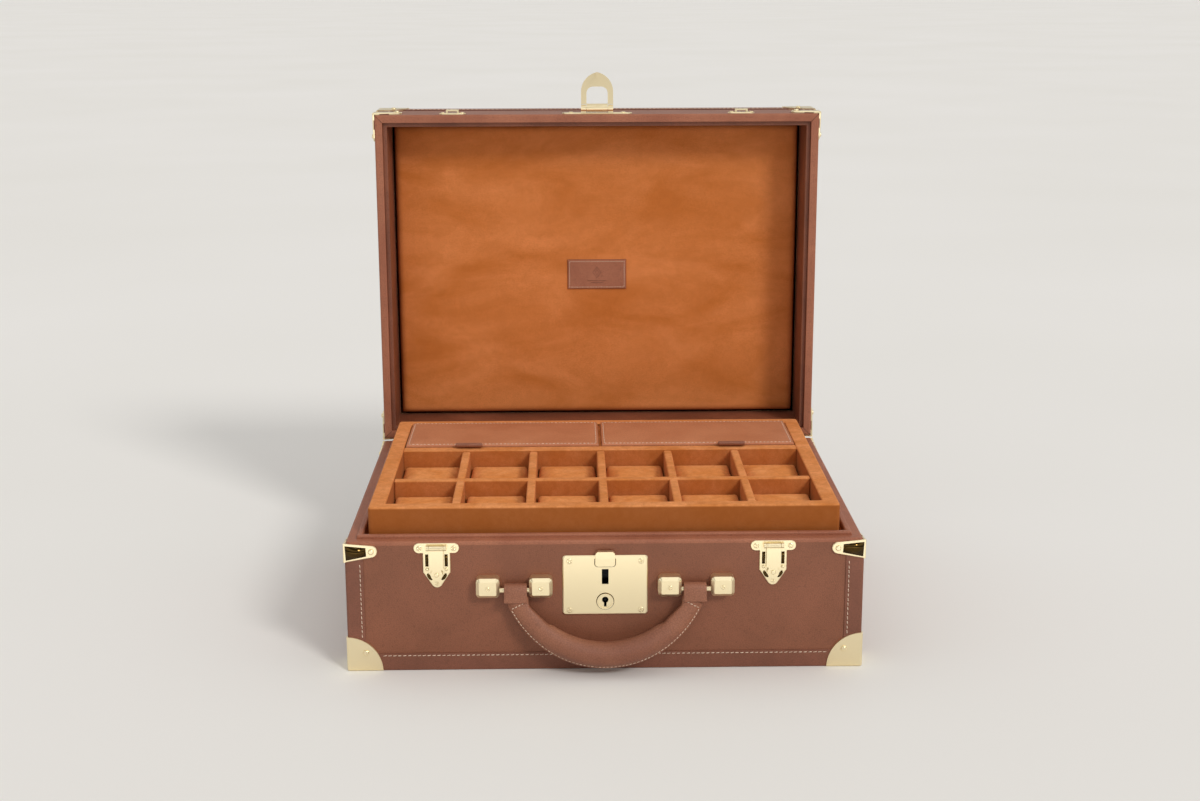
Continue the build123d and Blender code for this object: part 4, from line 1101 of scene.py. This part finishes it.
@dataclass
class Handle:
    """Padded leather grip with its sewn flange, and the straps that hang it from the rods."""

    lean: float = math.radians(-11)
    drop: float = 50.1 * MM
    arc_radius: float = 74.0 * MM
    end_angle: float = math.radians(65)
    full_angle: float = math.radians(38)
    width: tuple[float, float] = (9.6 * MM, 7.9 * MM)     # half width in the handle's plane: middle, end
    thick: tuple[float, float] = (9.8 * MM, 4.3 * MM)     # half thickness across that plane: middle, end
    flange: float = 0.17                                   # flange's reach as a share of the half width
    flange_spread: float = 0.17                            # radians
    tip: float = 2.6 * MM                                  # length of the rounded ends
    post_reach: float = 12.0 * MM                          # round the rods, where the posts are close
    post_gap: float = 0.4 * MM
    strap: float = 1.8 * MM
    strap_outer: float = 5.3 * MM
    strap_fall: float = 9.5 * MM
    strap_pinch: float = 0.82
    strap_edge: float = 0.45 * MM
    seam_turn: float = 0.2
    stations: int = 72
    around: int = 40

    def build(self) -> None:
        """Make the grip, its stitching and the straps."""
        dress(["handle_core"], STEEL)
        rods = islands("handle_rods")
        low, high = rods[0]
        self.hub = Vector((0, (low.y + high.y) / 2, (low.z + high.z) / 2))
        about = Matrix.Translation(self.hub)
        self.tilt = about @ Matrix.Rotation(self.lean, 4, "X") @ about.inverted()
        self.post_side = min(high.x for _, high in islands("handle_posts") if high.x > 0)
        self.post_side += self.post_gap
        self.build_grip()
        self.build_stitching()
        for side, (low, high) in zip(("left", "right"), islands("handle_loops")):
            self.build_strap(side, low.x, high.x)

    def middle(self, angle: float) -> Vector:
        """Return the grip's centre line at an angle from its lowest point."""
        rise = self.arc_radius * (1 - math.cos(angle))
        return Vector((self.arc_radius * math.sin(angle), self.hub.y, self.hub.z - self.drop + rise))

    def radii(self, angle: float) -> tuple[float, float]:
        """Return the half width and half thickness of the grip at an angle."""
        share = max(0.0, (abs(angle) - self.full_angle * 0.3) / (self.end_angle - self.full_angle * 0.3))
        ease = share * share * (3 - 2 * share)
        return tuple(a + (b - a) * ease for a, b in (self.width, self.thick))

    def surface(self, angle: float, around: float, scale: float = 1.0) -> Vector:
        """Find a point on the grip.

        Args:
            angle: Place along the grip.
            around: Place round its section, 0 at the flange and growing towards the back.
            scale: Size of the section, for the rounded ends.

        Returns:
            The point, before the handle leans.
        """
        outward = Vector((math.sin(angle), 0, -math.cos(angle)))
        wide, deep = self.radii(angle)
        turn = (around + math.pi) % math.tau - math.pi
        reach = 1 + self.flange * math.exp(-(turn / self.flange_spread) ** 2)
        flat = Vector((0, 1, 0)) * (math.sin(turn) * deep * reach)
        point = self.middle(angle) + (outward * (math.cos(turn) * wide * reach) + flat) * scale
        # The ends are pressed flat beside the inner posts, so that the handle swings clear of them.
        below = max(0.0, self.hub.z - self.post_reach - point.z)
        side = math.copysign(max(abs(point.x), self.post_side - below), angle) if angle else point.x
        return Vector((side if abs(angle) > self.full_angle else point.x, point.y, point.z))

    def build_grip(self) -> None:
        """Make the grip: a stuffed tube whose two edges are sewn together in a flange."""
        stops = [k / self.stations * 2 - 1 for k in range(self.stations + 1)]
        angles = [(s * self.end_angle, 1.0) for s in stops]
        tip = self.tip / self.arc_radius
        for share in (0.35, 0.7, 0.92, 1.0):
            scale = math.sqrt(max(0.0, 1 - share ** 2)) * 0.8 + 0.2 * (1 - share)
            angles.insert(0, (-self.end_angle - tip * share, max(scale, 0.05)))
            angles.append((self.end_angle + tip * share, max(scale, 0.05)))
        turns = []
        for k in range(self.around):
            even = k * math.tau / self.around
            turns.append(even - 0.72 * math.sin(even))
        rings = []
        for angle, scale in angles:
            rings.append([self.tilt @ self.surface(angle, turn, scale) for turn in turns])
        grip = make_piece("handle_padded_grip", sweep(rings), GRIP_LEATHER, "handle", ["handle_grip"])
        smooth = grip.modifiers.new("smooth", "SUBSURF")
        smooth.levels = smooth.render_levels = 1

    def spot(self, angle: float, turn: float) -> Spot:
        """Return a point on the leaning grip with its normal."""
        step = 0.02
        point = self.surface(angle, turn)
        along = self.surface(angle + step, turn) - self.surface(angle - step, turn)
        round_it = self.surface(angle, turn + step) - self.surface(angle, turn - step)
        normal = round_it.cross(along).normalized()
        if normal.dot(point - self.middle(angle)) < 0:
            normal.negate()
        return self.tilt @ point, self.tilt.to_3x3() @ normal

    def build_stitching(self) -> None:
        """Sew the flange on both sides and the ends of the grip."""
        thread = StitchRun(3.0 * MM, 2.2 * MM, 0.32 * MM)
        shape = Shape([], [])
        reach = self.end_angle - math.radians(3.5)
        for side in (-1, 1):
            flange = [self.spot(-reach + 2 * reach * k / 80, side * self.seam_turn) for k in range(81)]
            shape.add(thread.sew(flange))
        for end in (-1, 1):
            angle = end * (self.end_angle - math.radians(3.0))
            for side in (-1, 1):
                cuff = [self.spot(angle, side * (0.3 + 2.2 * k / 24)) for k in range(25)]
                shape.add(thread.sew(cuff))
        make_piece("handle_stitching", shape, THREAD, "handle")

    def build_strap(self, side: str, low_x: float, high_x: float) -> None:
        """Make one strap: leather folded over the rod and sewn into the grip.

        Args:
            side: "left" or "right".
            low_x: Its left edge.
            high_x: Its right edge.
        """
        outer, fall = self.strap_outer, self.strap_fall
        inner = outer - self.strap
        turns = [k * math.pi / 16 for k in range(17)]
        profile = [Vector((0, -outer, -fall))]
        profile += [Vector((0, -outer * math.cos(t), outer * math.sin(t))) for t in turns]
        profile += [Vector((0, r * self.strap_pinch, -fall)) for r in (outer, inner)]
        profile += [Vector((0, inner * math.cos(t), inner * math.sin(t))) for t in turns]
        profile += [Vector((0, -inner, -fall))]
        rings = [[self.tilt @ (self.hub + p + Vector((x, 0, 0))) for p in profile] for x in (low_x, high_x)]
        strap = make_piece(f"handle_strap_{side}", sweep(rings), GRIP_LEATHER, "handle")
        if side == "left":
            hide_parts("handle_loops")
        edge = strap.modifiers.new("edge", "BEVEL")
        edge.width = self.strap_edge
        edge.segments = 3
        edge.limit_method = "ANGLE"
        edge.angle_limit = math.radians(50)


class Drive(Enum):
    """How a screw or stud is driven."""

    CROSS = "cross"
    SLOT = "slot"


@dataclass
class BrassFittings:
    """Corner caps, latches, lock, hasp, handle posts, hinges and the screws that hold them."""

    plate: float = 1.0 * MM            # thickness of the latch plates
    # how far the strips of painted shade stand out from the brass
    shade_lift: float = 0.06 * MM
    leaf_radius: float = 4.6 * MM
    arc_rise: float = 1.6 * MM
    arc_reach: float = 7.0 * MM
    slot_out: float = 2.1 * MM
    slot_width: float = 1.25 * MM
    slot_heights: tuple[float, float] = (4.6 * MM, 14.4 * MM)
    arc_from: float = -8.0              # degrees
    arc_step: float = 6.5
    arc_count: int = 9
    line_half: float = 0.28 * MM
    skirt_half: float = 7.7 * MM
    skirt_drop: float = 8.9 * MM
    skirt_round: float = 2.4 * MM
    skirt_side: float = 4.0 * MM
    field_rise: float = 0.8 * MM
    field_near: float = 1.7 * MM
    field_far: float = 17.6 * MM
    field_widths: tuple[float, float] = (5.9 * MM, 3.4 * MM)
    slot_half: float = 0.3 * MM
    slot_depth: float = 0.45 * MM
    spokes: int = 36
    rings: int = 12

    def build(self) -> None:
        """Dress the brass and steel nodes and make the screw heads."""
        plates = ["base_corner_caps", "base_rim_caps", "base_cap_nails", "lid_corner_caps", "lid_rim_caps",
                  "lid_cap_nails", "latch_plates", "latch_flap_left", "latch_flap_right", "latch_pins",
                  "lock_plate", "key_escutcheon", "lock_slide", "handle_posts", "handle_rods",
                  "latch_keepers", "hasp_plate", "hasp_pin", "lid_hasp", "hinge_base_leaves",
                  "hinge_lid_leaves", "hinge_pins"]
        dress(plates, BRASS)
        dress(["lock_spring"], STEEL)
        dress(["lock_case", "lock_cam", "key_post"], BLUED_STEEL)
        for half in Half:
            self.build_screws(half)
        self.build_latch_slot_shade()
        self.build_cap_dark_reflections()
        self.build_lock_shade_lines()

    def build_latch_slot_shade(self) -> None:
        """Paint the shade inside the slots beside and below each latch's flap as thin dark strips."""
        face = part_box("base_side_leather")[0].y - self.plate
        normal = Vector((0, -1, 0))
        for side in ("left", "right"):
            low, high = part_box(f"latch_flap_{side}")
            middle = (low.x + high.x) / 2
            hub_z = low.z + self.leaf_radius + self.arc_rise
            shape = Shape([], [])
            for turn in (-1, 1):
                x = middle + turn * ((high.x - low.x) / 2 + self.slot_out)
                upper = [Vector((x, face, hub_z + rise)) for rise in self.slot_heights]
                shape.add(ribbon(upper, (self.slot_width, self.slot_width), normal, self.shade_lift))
                arc, taper = [], []
                for k in range(self.arc_count):
                    aim = math.radians(self.arc_from - self.arc_step * k)
                    arc.append(Vector((middle + turn * self.arc_reach * math.cos(aim), face,
                                       hub_z + self.arc_reach * math.sin(aim))))
                    inset = min(k, self.arc_count - 1 - k)
                    taper.append(self.slot_width * min(1.0, 0.45 + 0.3 * inset))
                shape.add(ribbon(arc, taper, normal, self.shade_lift))
            make_piece(f"latch_slot_shade_{side}", shape, SHADE_BRASS, "base")

    def build_lock_shade_lines(self) -> None:
        """Paint dark lines of shade round the key ring and round the thumb slide's skirt."""
        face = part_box("lock_plate")[0].y
        normal = Vector((0, -1, 0))
        low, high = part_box("key_escutcheon")
        middle, radius = (low + high) / 2, (high.x - low.x) / 2
        ring = []
        for k in range(33):
            turn = k * math.tau / 32
            reach = radius + self.line_half
            ring.append(Vector((middle.x + reach * math.cos(turn), face, middle.z + reach * math.sin(turn))))
        shape = ribbon(ring, [self.line_half] * len(ring), normal, self.shade_lift)
        make_piece("lock_ring_shade_line", shape, SHADE_BRASS, "base")
        half = self.skirt_half + self.line_half
        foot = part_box("lock_plate")[1].z - self.skirt_drop + self.skirt_round
        line = [Vector((-half, face, foot + self.skirt_side))]
        for k in range(9):
            turn = math.pi + k * math.pi / 16
            line.append(Vector((-half + self.skirt_round + self.skirt_round * math.cos(turn), face,
                                foot + self.skirt_round * math.sin(turn))))
        line += [Vector((-point.x, face, point.z)) for point in reversed(line)]
        shape = ribbon(line, [self.line_half * 1.3] * len(line), normal, self.shade_lift)
        make_piece("thumb_slide_shade_line", shape, SHADE_BRASS, "lock_slide")

    def build_cap_dark_reflections(self) -> None:
        """Paint a dark reflection on the dished field inside each brass tongue at the base's rim."""
        low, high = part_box("base_rim_caps")
        level = (low.z + high.z) / 2
        shape = Shape([], [])
        for axis in (1, 0):
            along = 1 - axis
            for face, sign in ((low[axis], -1), (high[axis], 1)):
                out = Vector((0, 0, 0))
                out[axis] = sign
                for side in (1, -1):
                    points = []
                    for k, start in enumerate((self.field_near, self.field_far)):
                        point = Vector((0, 0, level + k * self.field_rise))
                        point[axis], point[along] = face, side * (low[along] + start)
                        points.append(point)
                    shape.add(ribbon(points, self.field_widths, out, self.shade_lift))
        make_piece("base_cap_dark_reflections", shape, SHADE_BRASS, "base")

    def build_screws(self, half: Half) -> None:
        """Make the screw heads of one half, each on its plain stud.

        Args:
            half: The half whose screws are made.
        """
        node = f"{half.value}_screws"
        shape = Shape([], [])
        for low, high in islands(node):
            size = high - low
            axis = min(range(3), key=lambda k: size[k])
            radius = sorted(size)[1] / 2
            out = self.outward(axis, (low + high) / 2, half)
            back = (low + high) / 2 - out * (size[axis] / 2)
            drive = Drive.SLOT if radius < 1.6 * MM else Drive.CROSS
            turn = (low.x * 37 + low.z * 23) * 40
            place = Matrix.Translation(back) @ out.to_track_quat("Z", "Y").to_matrix().to_4x4()
            spun = place @ Matrix.Rotation(turn, 4, "Z")
            shape.add(self.head(radius, size[axis], drive).moved(spun))
        make_piece(f"{half.value}_screw_heads", shape, BRASS, half.value, [node])

    def outward(self, axis: int, middle: Vector, half: Half) -> Vector:
        """Find which way a screw's head looks.

        Args:
            axis: The axis along which the head is thinnest.
            middle: The head's middle.
            half: The half that holds it.

        Returns:
            A unit vector out of the case.
        """
        centre = size_of(f"{half.value}_box")[0]
        out = Vector((0, 0, 0))
        out[axis] = 1.0 if middle[axis] > centre[axis] else -1.0
        return out

    def head(self, radius: float, height: float, drive: Drive) -> Shape:
        """Draw a domed screw head with a driven recess.

        Args:
            radius: Its radius.
            height: Its height.
            drive: Its recess.

        Returns:
            The head, standing on z = 0.
        """
        def lift(x: float, y: float, r: float) -> float:
            """Height of the dome with the recess cut in."""
            dome = height * (0.35 + 0.65 * math.sqrt(max(0.0, 1 - (r / radius) ** 2)))
            bars = [abs(x)] if drive is Drive.SLOT else [abs(x), abs(y)]
            inside = max(0.0, 1 - min(bars) / self.slot_half)
            ends = 1.0 if drive is Drive.SLOT or r < radius * 0.7 else 0.0
            return dome - self.slot_depth * min(1.0, inside * 2) * ends

        points = [Vector((0, 0, lift(0, 0, 0)))]
        for k in range(1, self.rings + 1):
            r = radius * math.sin(k / self.rings * math.pi / 2)
            for s in range(self.spokes):
                turn = s * math.tau / self.spokes
                x, y = r * math.cos(turn), r * math.sin(turn)
                points.append(Vector((x, y, lift(x, y, r))))
        base = len(points)
        points += [Vector((p.x, p.y, 0)) for p in points[-self.spokes:]]
        faces: list[tuple[int, ...]] = []
        for s in range(self.spokes):
            after = (s + 1) % self.spokes
            faces.append((0, 1 + s, 1 + after))
            for k in range(self.rings):
                a, b = 1 + k * self.spokes, 1 + (k + 1) * self.spokes
                faces.append((a + s, b + s, b + after, a + after))
        faces.append(tuple(reversed(range(base, base + self.spokes))))
        return Shape(points, faces)


@dataclass
class Studio:
    """Plain pale floor, soft light from above, a key light from the front right, and the camera."""

    camera_place: tuple[float, float, float] = (-0.026743, -1.419651, 0.528636)
    pitch: float = 0.2417
    yaw: float = -0.0182
    roll: float = -0.0027
    lens: float = 52.195
    sensor: float = 36.0
    floor_reach: float = 60.0
    floor_level: float = -0.02 * MM
    key_from: tuple[float, float, float] = (0.50, -0.66, 0.57)
    key_power: float = 1.15
    key_angle: float = 0.24
    sky_light: tuple[tuple[float, float], ...] = ((0.0, 0.27), (0.12, 0.31), (0.45, 0.56), (1.0, 0.82))
    sky_mirrored: tuple[tuple[float, float], ...] = ((0.0, 0.10), (0.16, 0.12), (0.30, 0.9), (0.55, 1.3),
                                                     (0.62, 0.25), (0.8, 0.2), (0.9, 1.2))
    card_size: tuple[float, float] = (2.0, 0.85)
    card_place: tuple[float, float, float] = (0.0, -0.83, 0.004)
    card_level: float = 1.05

    def build(self) -> None:
        """Make the floor, lights, sky and camera."""
        self.build_floor()
        self.build_sky()
        self.build_key()
        self.build_card()
        self.build_camera()
        bpy.context.scene.view_settings.view_transform = "Standard"

    def build_floor(self) -> None:
        """Make the floor, just under the case."""
        reach = self.floor_reach
        mesh = bpy.data.meshes.new("studio_floor")
        corners = [(x * reach, y * reach, self.floor_level) for x, y in ((-1, -1), (1, -1), (1, 1), (-1, 1))]
        mesh.from_pydata(corners, [], [(0, 1, 2, 3)])
        mesh.materials.append(StudioPaint("studio_paint").material())
        place_object("studio_floor", mesh)

    def build_sky(self) -> None:
        """Light the scene from a soft white sky, brightest overhead."""
        world = bpy.data.worlds.new("studio_sky")
        bpy.context.scene.world = world
        world.use_nodes = True
        tree = world.node_tree
        back = tree.nodes["Background"]
        way = add_node(tree, "TexCoord", out="Generated")
        height = add_node(tree, "SeparateXYZ", {0: way}, out=2)
        rise = add_node(tree, "MapRange", {"Value": height, "From Min": -0.05, "From Max": 1.0})
        ramps = []
        for stops in (self.sky_light, self.sky_mirrored):
            ramps.append(add_node(tree, "ValToRGB", {0: rise}))
            elements = ramps[-1].node.color_ramp.elements
            while len(elements) < len(stops):
                elements.new(0.5)
            for element, (place, level) in zip(elements, stops):
                element.position = place
                element.color = (level, level * 0.99, level * 0.97, 1)
        gloss = add_node(tree, "LightPath", out="Is Glossy Ray")
        feed(back, {"Color": add_node(tree, "Mix", {0: gloss, 6: ramps[0], 7: ramps[1]}, COLOURS, 2)})

    def build_card(self) -> None:
        """Lay a bright card in front of the case, which only polished metal mirrors."""
        lamp = bpy.data.lights.new("front_card", "AREA")
        lamp.shape = "RECTANGLE"
        lamp.size, lamp.size_y = self.card_size
        lamp.energy = self.card_level * math.pi * lamp.size * lamp.size_y
        lamp.color = (1.0, 0.98, 0.94)
        card = place_object("front_card", lamp)
        card.location = self.card_place
        card.rotation_euler = (math.pi, 0, 0)
        card.visible_camera = False
        card.visible_diffuse = False

    def build_key(self) -> None:
        """Hang the key light."""
        lamp = bpy.data.lights.new("key_light", "SUN")
        lamp.energy = self.key_power
        lamp.angle = self.key_angle
        lamp.color = (1.0, 0.98, 0.95)
        key = place_object("key_light", lamp)
        key.rotation_mode = "QUATERNION"
        key.rotation_quaternion = Vector(self.key_from).to_track_quat("Z", "Y")

    def build_camera(self) -> None:
        """Set the camera up at the front, a little above the case."""
        lens = bpy.data.cameras.new("camera")
        lens.lens = self.lens
        lens.sensor_width = self.sensor
        camera = place_object("camera", lens)
        turn = (Matrix.Rotation(self.yaw, 4, "Z") @ Matrix.Rotation(math.pi / 2 - self.pitch, 4, "X")
                @ Matrix.Rotation(self.roll, 4, "Z"))
        camera.matrix_world = Matrix.Translation(self.camera_place) @ turn
        bpy.context.scene.camera = camera


def main() -> None:
    """Build every sub-assembly in order."""
    logging.basicConfig(level=logging.INFO, format="%(name)s: %(message)s")
    Studio().build()
    Shell().build()
    LidInside().build()
    Tray().build()
    Handle().build()
    BrassFittings().build()


if __name__ == "__main__":
    main()
